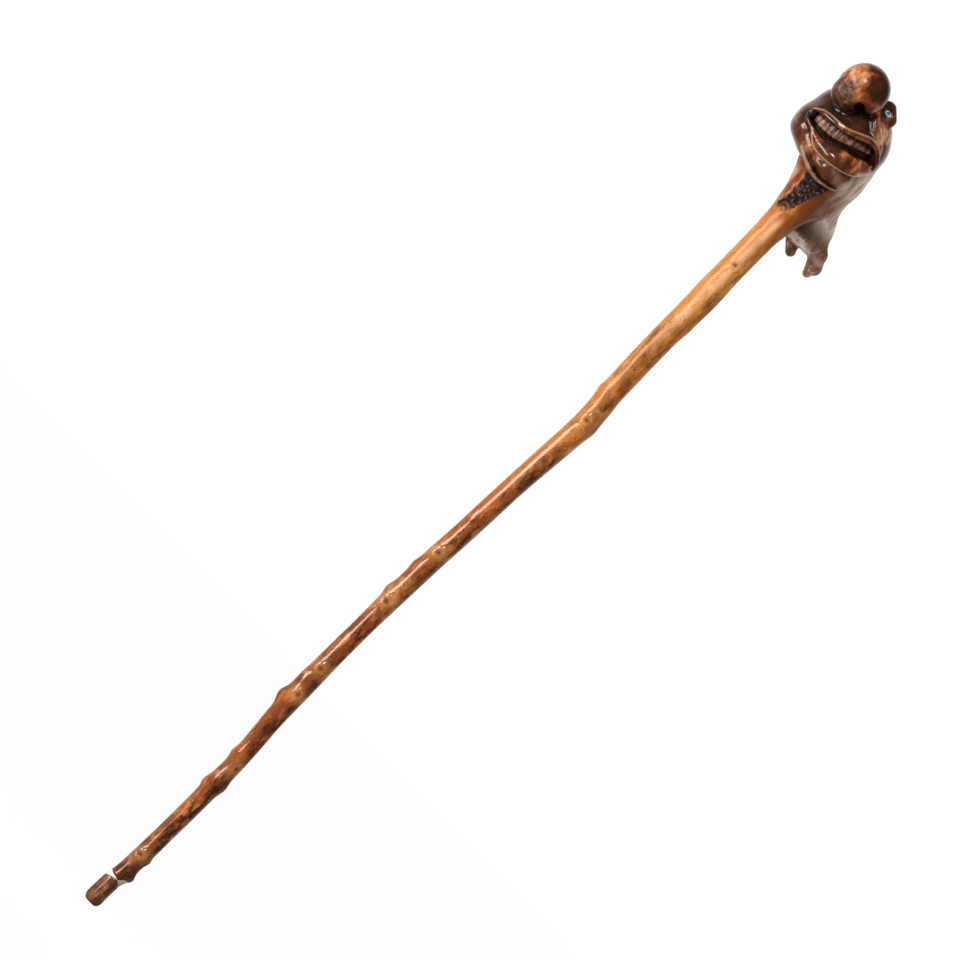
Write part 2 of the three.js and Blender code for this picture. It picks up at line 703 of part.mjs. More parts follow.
function blankSolid() {
  const rings = blankHeights().map((z) => {
    const [cx, cy] = shaftCentre(z);
    const ring = [];
    for (let i = 0; i < shaftSides; i += 1) {
      const angle = turn * i / shaftSides;
      const radius = blankRadius(z, angle);
      ring.push([cx + radius * Math.cos(angle), cy + radius * Math.sin(angle), z]);
    }
    return ring;
  });
  return solidOf(loft(rings));
}

// Cutting block under a curved joint line, drawn from the front and run through the stick and its nubs
const cutReach = footReach + knotRise;
function footBlock(left, right, lift) {
  const outline = new THREE.Shape();
  outline.moveTo(-cutReach, -cutReach);
  outline.lineTo(cutReach, -cutReach);
  outline.lineTo(cutReach, right + lift);
  outline.lineTo(lineReach, right + lift);
  const bow = THREE.MathUtils.lerp(pinchHeight, right, bowShare);
  const bowLeft = THREE.MathUtils.lerp(pinchHeight, left, bowShare);
  outline.quadraticCurveTo(lineReach / 2, bow + lift, pinchShift, pinchHeight + lift);
  outline.quadraticCurveTo(-lineReach / 2, bowLeft + lift, -lineReach, left + lift);
  outline.lineTo(-cutReach, left + lift);
  outline.closePath();
  const block = new THREE.ExtrudeGeometry(outline, {
    depth: cutReach * 2, bevelEnabled: false, curveSegments: bowSegments,
  });
  block.rotateX(Math.PI / 2);
  block.translate(0, cutReach, 0);
  return solidOf(block);
}

// Dowel and the bore that it sits in, one lathe profile grown by a clearance
function dowelSolid(clearance) {
  const radius = dowelDiameter / 2 + clearance;
  const half = dowelLength / 2 + clearance;
  const profile = [
    [0, -half], [radius - dowelChamfer, -half], [radius, dowelChamfer - half],
    [radius, half - dowelChamfer], [radius - dowelChamfer, half], [0, half],
  ].map(([r, h]) => new THREE.Vector2(r, h));
  const dowel = new THREE.LatheGeometry(profile, dowelSides);
  dowel.rotateX(Math.PI / 2);
  dowel.translate(dowelShift, 0, pinchHeight);
  return dowel;
}

// White of an eye and its bead, in the eye's own frame with the outward line along Z
function whiteSolid(eye, clearance) {
  const white = new THREE.SphereGeometry(1, whiteSides, whiteSides / 2);
  white.scale(eyeLength / 2 + clearance, eyeHeight / 2 + clearance, eyeDepth / 2 + clearance);
  white.applyMatrix4(eye.matrix);
  return solidOf(white);
}
function irisGeometry(eye, clearance) {
  const radius = irisDiameter / 2 + clearance;
  const floor = eyeDepth / 2 - irisSink - clearance;
  const rim = floor + irisRim + clearance;
  const profile = [[0, floor], [radius, floor], [radius, rim]];
  for (let i = 1; i < irisSteps; i += 1) {
    const bend = Math.PI / 2 * i / irisSteps;
    profile.push([radius * Math.cos(bend), rim + irisCrown * Math.sin(bend)]);
  }
  profile.push([0, rim + irisCrown]);
  const iris = new THREE.LatheGeometry(profile.map(([r, h]) => new THREE.Vector2(r, h)), irisSides);
  iris.rotateX(Math.PI / 2);
  iris.applyMatrix4(eye.matrix);
  return iris;
}

// Joint lines of the foot: end piece below, collar between, stick wood above
const blank = blankSolid();
const bore = solidOf(dowelSolid(seatGap));
const halfPinch = collarPinch / 2;
const lowLeft = pinchHeight - collarLeft * collarLowShare;
const lowRight = pinchHeight - collarRight * collarLowShare;
const highLeft = pinchHeight + collarLeft * (1 - collarLowShare);
const highRight = pinchHeight + collarRight * (1 - collarLowShare);
const belowCollar = footBlock(lowLeft, lowRight, -halfPinch);
const belowCollarTop = footBlock(highLeft, highRight, halfPinch - seatGap);
const belowCollarFoot = footBlock(lowLeft, lowRight, seatGap - halfPinch);
const belowWood = footBlock(highLeft, highRight, halfPinch);

let stick = blank.subtract(belowWood).subtract(bore).add(headSolid());
const tipPiece = blank.intersect(belowCollar).subtract(bore);
const collar = blank.intersect(belowCollarTop).subtract(belowCollarFoot).subtract(bore);
for (let i = 0; i < toothCount; i += 1) stick = stick.add(toothSolid(i));
for (const eye of eyes) stick = stick.subtract(whiteSolid(eye, seatGap));

const part = new THREE.Group();
function addPiece(name, geometry, color, roughness, metalness) {
  const material = new THREE.MeshStandardMaterial({ color, roughness, metalness });
  const mesh = new THREE.Mesh(geometry, material);
  mesh.name = name;
  part.add(mesh);
  return mesh;
}
addPiece('stick_wood', geometryOf(stick), woodColor, varnishRough, 0);
addPiece('tip_piece', geometryOf(tipPiece), woodDark, varnishRough, 0);
addPiece('tip_collar', geometryOf(collar), boneColor, boneRough, 0);
addPiece('tip_dowel', dowelSolid(0), dowelColor, dowelRough, 0);
for (const eye of eyes) {
  const white = whiteSolid(eye, 0).subtract(solidOf(irisGeometry(eye, seatGap)));
  addPiece(`eye_white_${eye.name}`, geometryOf(white), boneColor, boneRough, 0);
  addPiece(`iris_${eye.name}`, irisGeometry(eye, 0), irisColor, irisRough, 0);
}

export default part;
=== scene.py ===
# Carved root-wood walking stick: the fine wood, end piece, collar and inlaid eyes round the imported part
import math
import bpy
import numpy as np
from mathutils import Matrix, Vector


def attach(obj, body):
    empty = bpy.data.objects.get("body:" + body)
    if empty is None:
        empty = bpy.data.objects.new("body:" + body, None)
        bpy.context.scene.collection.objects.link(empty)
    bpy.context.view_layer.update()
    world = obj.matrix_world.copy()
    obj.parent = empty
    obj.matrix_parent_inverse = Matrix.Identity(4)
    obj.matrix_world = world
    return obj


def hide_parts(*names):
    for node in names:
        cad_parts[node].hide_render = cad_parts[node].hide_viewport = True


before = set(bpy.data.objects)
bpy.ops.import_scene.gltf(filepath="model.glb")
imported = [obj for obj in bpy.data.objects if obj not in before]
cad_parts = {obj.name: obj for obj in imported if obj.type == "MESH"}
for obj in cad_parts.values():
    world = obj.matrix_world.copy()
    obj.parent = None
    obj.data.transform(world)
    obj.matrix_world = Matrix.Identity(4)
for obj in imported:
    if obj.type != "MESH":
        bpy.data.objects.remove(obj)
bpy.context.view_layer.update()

# Driving dimensions, metres
stick_length = 0.918
grip_diameter = 0.0224
tip_diameter = 0.0154
flare_diameter = 0.051
sway_across = 0.0048
sway_deep = 0.0024
knot_rise = 0.0027
knot_reach = 0.006
head_width = 0.080
head_height = 0.120
head_depth = 0.080
head_lean = 0.0172
head_forward = 0.002
head_drop = 0.062
nose_width = 0.042
nose_depth = 0.040
nose_height = 0.0432
nostril_diameter = 0.0092
lip_half = 0.0034
lip_full = 0.0062
fold_half = 0.0046
jaw_half = 0.0028
rim_half = 0.0005
mouth_depth = 0.007
tooth_width = 0.0058
tooth_sink = 0.001
tooth_groove = 0.0013
eye_length = 0.0072
eye_height = 0.0048
eye_depth = 0.0044
eye_bowl = 0.0064
iris_diameter = 0.0032
iris_sink = 0.0009
iris_rim = 0.0005
iris_crown = 0.0005
bead_foot_share = 0.3
seat_gap = 0.0003

# Softness of the joins between carved masses
mass_soft = 0.007
root_soft = 0.009
fold_soft = 0.0034
lobe_soft = 0.004
hood_soft = 0.003
edge_soft = 0.0024
crease_soft = 0.0014

# End piece, collar and dowel
foot_length = 0.022
foot_round = 0.0064
foot_bulge = 0.0159
foot_flat = 0.007
line_reach = 0.0078
pinch_height = 0.0282
pinch_shift = 0.0036
collar_left = 0.007
collar_right = 0.008
collar_low_share = 0.46
collar_pinch = 0.0003
bow_share = 0.35
dowel_diameter = 0.006
dowel_length = 0.036
dowel_shift = 0.0006
joint_gap = 0.00012
edge_round = 0.0003
bore_radius = dowel_diameter / 2 + seat_gap

# Steps and counts of the meshes
net_step = 0.00097
band_step = 0.0038
band_half = 0.006
join_height = 0.742
ring_step = 0.0022
knot_step = 0.0011
ring_sides = 60
end_rings = 7
shoulder_rings = 4
joint_rounds = 4
bow_steps = 25
eye_sides = 48
eye_rings = 16
dome_rings = 8
settle_rounds = 2
settle_step = 0.00015
settle_cap = 0.0004
settle_slope = 0.3

turn = 2 * math.pi


# Smooth curve through share points
def curve_through(points):
    xs, ys = np.array(points, float).T
    after = np.minimum(np.arange(len(xs)) + 1, len(xs) - 1)
    before = np.maximum(np.arange(len(xs)) - 1, 0)
    slopes = (ys[after] - ys[before]) / (xs[after] - xs[before])

    def value(x):
        x = np.clip(x, xs[0], xs[-1])
        i = np.clip(np.searchsorted(xs, x, side="right") - 1, 0, len(xs) - 2)
        width = xs[i + 1] - xs[i]
        rise = ys[i + 1] - ys[i]
        f = (x - xs[i]) / width
        a = slopes[i] * width - rise
        b = rise - slopes[i + 1] * width
        return ys[i] + f * rise + f * (1 - f) * (a * (1 - f) + b * f)

    return value


# Smooth noise between -1 and 1 on a lattice of seeded values
lattice_size = 64
lattice_seed = 11
lattice = np.random.default_rng(lattice_seed).uniform(-1, 1, (lattice_size,) * 3)


def noise(x, y, z, size, stretch=1):
    coords = [x / size, y / size, z / (size * stretch)]
    low = [np.floor(c).astype(int) for c in coords]
    soft = [(c - i) ** 2 * (3 - 2 * (c - i)) for c, i in zip(coords, low)]
    total = 0
    for corner in range(8):
        bits = [corner >> axis & 1 for axis in range(3)]
        weight = 1
        for bit, s in zip(bits, soft):
            weight = weight * (s if bit else 1 - s)
        spot_index = tuple((i + bit) % lattice_size for i, bit in zip(low, bits))
        total = total + weight * lattice[spot_index]
    return total


def smooth(low, high, value):
    f = np.clip((value - low) / (high - low), 0, 1)
    return f * f * (3 - 2 * f)


# Line of the shaft: height share of the stick length against sway and thickness shares
sway_shares = [
    [0, 0], [0.026, 0], [0.038, 0.35], [0.06, 0.54], [0.14, 0.54], [0.18, 0.35],
    [0.242, -0.67], [0.3, -0.92], [0.37, -1], [0.42, -0.8], [0.46, -0.5], [0.52, -0.15],
    [0.57, 0.35], [0.601, 0.6], [0.62, 0.35], [0.635, 0], [0.7, -0.45], [0.74, -0.46],
    [0.78, -0.75], [0.83, -0.92], [0.859, -0.78], [0.87, -0.5], [0.88, -0.25], [0.889, -0.42],
    [0.898, -0.75], [0.91, -0.85],
]
depth_shares = [
    [0, 0], [0.1, 0.5], [0.24, -0.4], [0.38, 0.6], [0.55, -0.5], [0.62, 0.4], [0.75, -0.6],
    [0.84, 0.1], [0.91, 0.6],
]
thick_shares = [
    [0, 0], [0.14, 0.05], [0.22, 0.15], [0.265, 0.4], [0.3, 0.2], [0.35, 0.2], [0.385, 0.36],
    [0.52, 0.38], [0.6, 0.68], [0.66, 0.72], [0.72, 0.86], [0.757, 1.12], [0.78, 0.96], [0.825, 1],
]
flare_shares = [
    [0.8275, 0], [0.838, 0.07], [0.8484, 0.14], [0.859, 0.3], [0.87, 0.53], [0.88, 0.83],
    [0.889, 1], [0.898, 1.18], [0.903, 1.18], [0.9085, 1],
]
flare_depth_share = 0.8
sway_of = curve_through(sway_shares)
depth_of = curve_through(depth_shares)
thick_of = curve_through(thick_shares)
flare_of = curve_through(flare_shares)

# Knots and nubs: height, turn round the shaft, rise, half length, half width as a turn, dark eye
knot_shares = [
    [0.0395, 0, 1, 0.8, 0.089, 0], [0.0605, 0, 0.5, 0.6, 0.089, 0],
    [0.0605, -0.28, 0.5, 0.9, 0.13, 1], [0.072, -0.16, 0.25, 1.3, 0.13, 0],
    [0.147, 0.5, 0.65, 0.9, 0.083, 0], [0.152, 0, 0.6, 1, 0.083, 0], [0.153, -0.3, 0.55, 1.4, 0.15, 0],
    [0.172, -0.17, 0.28, 1, 0.09, 1], [0.182, 0.5, 0.45, 0.8, 0.111, 0], [0.184, -0.33, 0.35, 1.3, 0.12, 0],
    [0.247, 0.5, 1.15, 1.15, 0.09, 0], [0.246, -0.25, 0.35, 2.2, 0.16, 0], [0.256, -0.23, 0.4, 0.9, 0.1, 1],
    [0.27, -0.36, 0.4, 1.2, 0.11, 0], [0.286, -0.25, 0.4, 0.9, 0.12, 1],
    [0.368, -0.28, 0.4, 1, 0.12, 1], [0.378, 0.5, 0.6, 0.9, 0.106, 0], [0.409, 0.5, 0.4, 0.9, 0.106, 0],
    [0.43, -0.27, 0.42, 1, 0.12, 1], [0.473, -0.33, 0.22, 0.9, 0.1, 0],
    [0.598, 0, 0.35, 1.2, 0.139, 0], [0.603, -0.26, 0.35, 0.9, 0.1, 1], [0.632, 0.5, 0.35, 1, 0.139, 0],
    [0.66, -0.1, 0.2, 1.2, 0.1, 0], [0.72, -0.05, 0.25, 1.2, 0.1, 0], [0.79, -0.25, 0.2, 0.9, 0.083, 1],
]
knot_eye_share = 0.36
knot_pit_share = 0.6
knot_ring_share = 0.55
knot_ring_at = 0.75
wave_height = 0.00022
wave_size = 0.014
ripple_height = 0.00001
ripple_size = 0.0035


def shaft_centre(z):
    share = z / stick_length
    return sway_of(share) * sway_across, depth_of(share) * sway_deep


# Distance from the line of the shaft, and the angle round it
def round_shaft(x, y, z):
    centre_x, centre_y = shaft_centre(z)
    return np.hypot(x - centre_x, y - centre_y), np.arctan2(y - centre_y, x - centre_x)


# Rise of the knots at a height and angle, how deep in a dark eye the place lies, and how near to one
def knots_at(z, angle):
    rise = 0
    eye = 0
    halo = 0
    for height, round_turn, knot_lift, reach, spread, dark in knot_shares:
        along = (z - height * stick_length) / (reach * knot_reach)
        off = angle - round_turn * turn
        across = np.arctan2(np.sin(off), np.cos(off)) / (spread * turn)
        away = along ** 2 + across ** 2
        rise = rise + knot_lift * knot_rise * np.exp(-away)
        if dark:
            pit = np.exp(-away / knot_eye_share ** 2)
            ring = np.exp(-(np.sqrt(away) - knot_ring_at) ** 2 / knot_eye_share ** 2)
            rise = rise + (knot_ring_share * ring - knot_pit_share * pit) * knot_lift * knot_rise
            eye = eye + pit
            halo = np.maximum(halo, np.exp(-away / 2))
    return rise, eye, halo


def shaft_radius(z, angle):
    share = z / stick_length
    plain = (tip_diameter + (grip_diameter - tip_diameter) * thick_of(share)) / 2
    flare = flare_of(share)
    deep = np.sin(angle) ** 2
    side = 1 + (flare_depth_share - 1) * deep * np.minimum(flare, 1)
    radius = (plain + flare * (flare_diameter - grip_diameter) / 2) * side
    return radius + knots_at(z, angle)[0]


def carving(x, y, z):
    return (wave_height * noise(x, y, z, wave_size, 2)
            + ripple_height * noise(x, y, z, ripple_size, 3))


# Head: all places are shares of its width, depth and height from its middle
head_x, head_y, head_z = -head_lean, -head_forward, stick_length - head_drop


def spot(x_share, y_share, z_share):
    return (head_x + x_share * head_width, head_y + y_share * head_depth, head_z + z_share * head_height)


def head_shares(x, z):
    return (x - head_x) / head_width, (z - head_z) / head_height


def ellipsoid(centre, half):
    def distance(x, y, z):
        parts = [(v - c) / h for v, c, h in zip((x, y, z), centre, half)]
        unit = np.sqrt(sum(p ** 2 for p in parts))
        slope = np.sqrt(sum((p / h) ** 2 for p, h in zip(parts, half)))
        return unit * (unit - 1) / np.maximum(slope, 1)

    return distance


def limb(start, end, start_radius, end_radius):
    axis = np.subtract(end, start)
    length = float(axis @ axis)

    def distance(x, y, z):
        away = [v - s for v, s in zip((x, y, z), start)]
        f = np.clip(sum(a * b for a, b in zip(away, axis)) / length, 0, 1)
        gap = np.sqrt(sum((a - f * b) ** 2 for a, b in zip(away, axis)))
        return gap - start_radius - (end_radius - start_radius) * f

    return distance


def join(a, b, soft):
    h = np.maximum(soft - np.abs(a - b), 0) / soft
    return np.minimum(a, b) - h * h * soft / 4


def carve(a, b, soft):
    return -join(-a, b, soft)


def bulk(at, half):
    return ellipsoid(spot(*at), (half[0] * head_width, half[1] * head_depth, half[2] * head_height))


def branch(start, end, start_share, end_share):
    return limb(spot(*start), spot(*end), start_share * head_width, end_share * head_width)


def joined(fields, soft):
    def distance(x, y, z):
        total = fields[0](x, y, z)
        for field in fields[1:]:
            total = join(total, field(x, y, z), soft)
        return total

    return distance


# Crown and jowls of the root head
skin_shares = [
    [(-0.01, 0, 0.08), (0.45, 0.45, 0.29)],
    [(0, -0.05, -0.045), (0.5, 0.42, 0.19)],
    [(0.235, 0.06, -0.18), (0.255, 0.33, 0.21)],
    [(0.02, -0.22, 0.02), (0.4, 0.31, 0.16)],
    [(0.19, -0.08, 0.085), (0.27, 0.3, 0.15)],
    [(-0.13, -0.14, -0.18), (0.19, 0.3, 0.085)],
    [(-0.33, -0.05, -0.13), (0.14, 0.3, 0.075)],
]
chin_shares = [(0.125, -0.3, -0.175), (0.27, 0.27, 0.135)]
chin_boss_shares = [(0.12, -0.4, -0.22), (0.2, 0.18, 0.062)]
hollow_shares = [(-0.16, -0.6, 0.128), (0.26, 0.13, 0.042)]
hood_shares = [
    [(0.12, -0.16, 0.36), (0.205, -0.15, 0.32), 0.092, 0.078],
    [(-0.37, -0.04, 0.315), (-0.36, -0.04, 0.27), 0.09, 0.078],
]
crown = joined([bulk(*shares) for shares in skin_shares], mass_soft)
chin_boss = bulk(*chin_boss_shares)
chin = joined([bulk(*chin_shares), chin_boss], crease_soft)
hollow = bulk(*hollow_shares)
hoods = [branch(*shares) for shares in hood_shares]

# Root that leans back and to the side behind the shaft, cut flat below, with its stubs
root_shares = [
    [(0.26, 0, -0.2), (0.29, 0.12, -0.37), 0.25, 0.17],
    [(0.24, 0.2, -0.22), (0.37, 0.34, -0.48), 0.275, 0.19],
    [(0.4, 0.4, -0.53), (0.4, 0.4, -0.59), 0.24, 0.24],
    [(0.48, 0.4, -0.56), (0.68, 0.46, -0.64), 0.12, 0.09],
]
stub_shares = [
    [(0.66, 0.46, -0.64), (0.735, 0.48, -0.72), 0.09, 0.085],
    [(0.72, 0.48, -0.74), (0.725, 0.48, -0.78), 0.06, 0.045],
    [(0.37, 0.4, -0.67), (0.455, 0.46, -0.757), 0.085, 0.055],
]
root_floor_share = -0.7
root_mass = joined([branch(*shares) for shares in root_shares], root_soft)
stubs = joined([branch(*shares) for shares in stub_shares], edge_soft)
root_floor = head_z + root_floor_share * head_height


def root_field(x, y, z):
    root = carve(root_mass(x, y, z), z - root_floor, edge_soft)
    return join(root, stubs(x, y, z), edge_soft)


# Ball of the nose with the lobe under it, its root between the eyes, and the nostril
nose_shares = (-0.19, -0.42, 0.34)
nose_lobe_shares = [(-0.27, -0.44, 0.235), (0.17, 0.18, 0.105)]
nose_root_shares = [(-0.14, -0.05, 0.24), (-0.16, -0.3, 0.33), 0.2, 0.2]
nostril_shares = [(-0.08, -0.75, 0.215), (-0.095, -0.3, 0.25)]
nose_base_shares = [
    [-0.5, 0.05], [-0.34, 0.1], [-0.27, 0.135], [-0.2, 0.185], [-0.13, 0.23], [-0.04, 0.243],
    [0.05, 0.255], [0.2, 0.28],
]
nose_ball = ellipsoid(spot(*nose_shares), (nose_width / 2, nose_depth / 2, nose_height / 2))
nose_lobe = bulk(*nose_lobe_shares)
nose_root = branch(*nose_root_shares)
nose_base = curve_through(nose_base_shares)
nostril = limb(*[spot(*share) for share in nostril_shares], nostril_diameter / 2, nostril_diameter / 2)

# Chart of the face: arc round the upright axis of the head, and height
face_radius = head_width / 2


def on_chart(x_share, z_share):
    return face_radius * math.asin(2 * x_share), z_share * head_height


# Line carved on the face: places on the chart with the share of its half width there
line_steps = 3


def face_line(shares, half, squash=1):
    knots = np.array([[*on_chart(x, z), share * half] for x, z, share in shares])
    knots = np.vstack([2 * knots[0] - knots[1], knots, 2 * knots[-1] - knots[-2]])
    points = []
    for p0, p1, p2, p3 in zip(knots, knots[1:], knots[2:], knots[3:]):
        for step in range(line_steps):
            f = step / line_steps
            bend = (2 * p0 - 5 * p1 + 4 * p2 - p3) * f ** 2 + (3 * p1 - p0 - 3 * p2 + p3) * f ** 3
            points.append((2 * p1 + (p2 - p0) * f + bend) / 2)
    points.append(knots[-2])

    def distance(u, h, lift):
        best = np.inf
        for (au, ah, aw), (bu, bh, bw) in zip(points, points[1:]):
            du, dh = bu - au, bh - ah
            f = np.clip(((u - au) * du + (h - ah) * dh) / (du * du + dh * dh), 0, 1)
            flat = (u - au - f * du) ** 2 + (h - ah - f * dh) ** 2
            best = np.minimum(best, np.sqrt(flat + (squash * lift) ** 2) - aw - (bw - aw) * f)
        return best

    return distance


upper_lip_shares = [
    [-0.38, 0.01, 0.6], [-0.31, 0.033, 0.85], [-0.22, 0.043, 1], [-0.11, 0.053, 1.1], [-0.01, 0.063, 1.15],
    [0.09, 0.09, 1.2], [0.19, 0.12, 1.2], [0.27, 0.127, 1.15], [0.33, 0.11, 1], [0.39, 0.067, 0.85],
    [0.425, 0.013, 0.7], [0.415, -0.033, 0.5],
]
lower_lip_shares = [
    [-0.23, -0.113, 0.5], [-0.11, -0.129, 0.85], [-0.01, -0.123, 1.05], [0.09, -0.109, 1.15],
    [0.19, -0.089, 1.2], [0.29, -0.062, 1.15], [0.35, -0.04, 1], [0.39, -0.027, 0.7],
]
corner_rim_shares = [
    [-0.38, 0.013, 0.6], [-0.39, -0.027, 0.75], [-0.34, -0.07, 0.75], [-0.25, -0.097, 0.6],
]
jaw_shares = [
    [-0.25, -0.227, 0.6], [-0.12, -0.265, 1], [-0.02, -0.289, 1], [0.1, -0.305, 0.9],
    [0.22, -0.299, 0.8], [0.33, -0.272, 0.6],
]
cheek_fold_shares = [
    [0.08, 0.333, 0.8], [0.14, 0.267, 1], [0.22, 0.213, 1.1], [0.3, 0.167, 1], [0.36, 0.127, 0.6],
]
lip_edge_shares = [
    [-0.39, 0.01, 0.6], [-0.31, 0.047, 1], [-0.23, 0.063, 1], [-0.11, 0.069, 1], [-0.01, 0.08, 1],
    [0.09, 0.113, 1], [0.19, 0.142, 1], [0.27, 0.147, 1], [0.33, 0.127, 1], [0.39, 0.087, 1],
    [0.43, 0.033, 1], [0.44, -0.013, 1], [0.41, -0.06, 1], [0.35, -0.097, 1], [0.27, -0.13, 1],
    [0.19, -0.153, 1], [0.09, -0.171, 1], [-0.01, -0.179, 1], [-0.11, -0.173, 1], [-0.17, -0.157, 1],
    [-0.23, -0.123, 0.9], [-0.28, -0.087, 0.7],
]
lip_squash = 1.25
lips = [
    face_line(upper_lip_shares, lip_half), face_line(lower_lip_shares, lip_full, lip_squash),
    face_line(corner_rim_shares, lip_half), face_line(jaw_shares, jaw_half),
]
lip_edge = face_line(lip_edge_shares, rim_half)
jaw_edge = face_line(jaw_shares, rim_half)
cheek_fold = face_line(cheek_fold_shares, fold_half)

# Mouth: upper and lower edge of the opening, and the lower edge of the teeth, along the face
mouth_top_shares = [
    [-0.38, 0], [-0.33, 0.013], [-0.26, 0.019], [-0.21, 0.02], [-0.11, 0.035], [-0.01, 0.047],
    [0.09, 0.07], [0.19, 0.097], [0.27, 0.107], [0.33, 0.093], [0.38, 0.053], [0.41, 0.013],
]
mouth_bottom_shares = [
    [-0.38, -0.01], [-0.36, -0.043], [-0.29, -0.067], [-0.21, -0.08], [-0.13, -0.081], [-0.01, -0.064],
    [0.09, -0.045], [0.19, -0.022], [0.29, 0], [0.36, 0.018], [0.41, 0.01],
]
tooth_edge_shares = [
    [-0.33, -0.04], [-0.26, -0.047], [-0.11, -0.04], [-0.01, -0.027], [0.09, 0], [0.19, 0.027],
    [0.29, 0.055], [0.33, 0.068],
]
mouth_top = curve_through([on_chart(*share) for share in mouth_top_shares])
mouth_bottom = curve_through([on_chart(*share) for share in mouth_bottom_shares])
tooth_edge = curve_through([on_chart(*share) for share in tooth_edge_shares])
mouth_end_shares = [-0.357, 0.4]
teeth_end_shares = [-0.335, 0.315]
mouth_left, mouth_right = [on_chart(share, 0)[0] for share in mouth_end_shares]
teeth_left, teeth_right = [on_chart(share, 0)[0] for share in teeth_end_shares]

groove_power = 0.4
tooth_pitch = (teeth_right - teeth_left) / round((teeth_right - teeth_left) / tooth_width)


def mouth_field(u, h, skin):
    tall = np.maximum(h - mouth_top(u), mouth_bottom(u) - h)
    wide = np.maximum(mouth_left - u, u - mouth_right)
    return np.maximum(np.maximum(tall, wide), -(skin + mouth_depth))


def teeth_field(u, h, skin):
    tall = np.maximum(tooth_edge(u) - h, h - mouth_top(u) - lip_half)
    wide = np.maximum(teeth_left - u, u - teeth_right)
    groove = np.abs(np.sin(math.pi * (u - teeth_left) / tooth_pitch))
    front = skin + tooth_sink + tooth_groove * (1 - groove ** groove_power)
    return np.maximum(np.maximum(tall, wide), np.maximum(front, -(skin + mouth_depth + lip_half)))


# Eyes: a bowl, an almond white and a bead, all set along the same outward line
eye_shares = {
    "right": [(0.15, -0.208, 0.341), (0.337, -0.833, 0.438)],
    "left": [(-0.36, -0.16, 0.29), (-0.69, -0.62, 0.375)],
}
bowl_half_shares = (1, 0.8, 0.82)
bowl_lift_share = 0.8
lid_lift = 0.0007
lid_half = 0.0005


class Eye:
    def __init__(self, name, at, out):
        self.name = name
        self.at = Vector(spot(*at))
        self.out = Vector(out).normalized()
        self.side = Vector((0, 0, 1)).cross(self.out).normalized()
        self.up = self.out.cross(self.side)
        centre = self.at + self.out * (bowl_lift_share * eye_bowl)
        self.bowl = ellipsoid(tuple(centre), [share * eye_bowl for share in bowl_half_shares])

    # Across, up and outward from the middle of the eye
    def local(self, x, y, z):
        away = [v - c for v, c in zip((x, y, z), self.at)]
        return [sum(a * b for a, b in zip(away, axis)) for axis in (self.side, self.up, self.out)]

    def world(self, across, up, outward):
        return self.at + self.side * across + self.up * up + self.out * outward

    # Raised almond rim of the lids round the white
    def lid(self, x, y, z):
        across, up, outward = self.local(x, y, z)
        round_share = np.hypot(across / eye_length, up / eye_height) * 2
        return np.hypot((round_share - 1) * eye_height / 2, outward - lid_lift) - lid_half

    def socket(self, x, y, z):
        across, up, outward = self.local(x, y, z)
        half = [side / 2 + joint_gap for side in (eye_length, eye_height, eye_depth)]
        return ellipsoid((0, 0, 0), half)(across, up, outward)


eyes = [Eye(name, *shares) for name, shares in eye_shares.items()]

# Rough places: bark left under the chin, on the nose lobe, and furrows on the root
bark_half_top_share = 0.135
bark_half_low_share = 0.06
bark_middle_top_share = 0.15
bark_middle_low_share = 0.09
bark_top_share = -0.3
bark_low_share = -0.585
bark_top_fade_shares = (0.06, -0.02)
bark_low_fade_shares = (-0.03, 0.04)
bark_side_fade_shares = (0.8, 1.1)
bark_wander_share = 0.018
bark_wander_size = 0.006
bark_crumb_share = 0.015
bark_crumb_size = 0.0024
bark_rim_height = 0.001
bark_rim_shares = (-1.2, 0.2)
bark_line_shares = (-1.14, 0.11)
bark_line_top_shares = (-0.31, -0.35)
bark_sink = 0.0009
bark_height = 0.0013
bark_size = 0.0026
bark_fine_share = 0.5
scar_shares = (-0.33, -0.62, 0.225)
scar_radius = 0.0125
scar_height = 0.0006
scar_fade_shares = (0.6, 1.05)
scar_wander_share = 0.15
scar_wander_size = 0.004
furrow_height = 0.0007
furrow_size = 0.0022
furrow_stretch = 5
furrow_level = 0.4
furrow_low_fade_share = 0.06
furrow_top_shares = (-0.42, -0.3)
furrow_side_shares = (0.3, 0.42)
grain_turn = 0.6
jaw_line_share = 0.8
jaw_line_half = jaw_half / 2.4
root_top_shares = (-0.15, -0.3)
root_edge = 0.004

# Dark and pale patches of the face: place, reach and strength, negative where it is paler; the pale patches
# on the lower lip and along the cheek fold are painted highlights
stain_and_sheen_shares = [
    [-0.04, 0.44, 0.14, 0.9], [-0.01, 0.36, 0.1, 0.6], [-0.05, 0.16, 0.17, 0.9], [-0.26, 0.11, 0.11, 0.8],
    [0.19, 0.19, 0.1, 0.6], [-0.4, -0.03, 0.12, 1], [-0.26, -0.15, 0.1, 0.5], [0.1, -0.19, 0.2, 1],
    [0.42, 0.13, 0.08, 0.8], [-0.35, 0.38, 0.15, -1.3], [-0.17, 0.275, 0.09, -0.7],
    [-0.02, 0.295, 0.06, -0.9], [0, -0.11, 0.13, -0.5], [0.32, -0.05, 0.09, -0.8], [0.16, 0.27, 0.06, -0.8],
    [-0.44, 0.12, 0.1, 1], [0.1, 0.12, 0.07, -0.6], [0.25, -0.19, 0.1, 0.6], [-0.16, -0.215, 0.06, -1.3],
    [0.14, -0.067, 0.055, -2.2], [0.25, 0.245, 0.05, -1.4], [0.3, 0.205, 0.07, -1.9],
]


def stain(x, y, z):
    total = 0
    for x_share, z_share, reach, strength in stain_and_sheen_shares:
        across = (x - head_x) / head_width - x_share
        tall = (z - head_z - z_share * head_height) / head_width
        total = total + strength * np.exp(-(across ** 2 + tall ** 2) / reach ** 2)
    return total * (y < head_y)


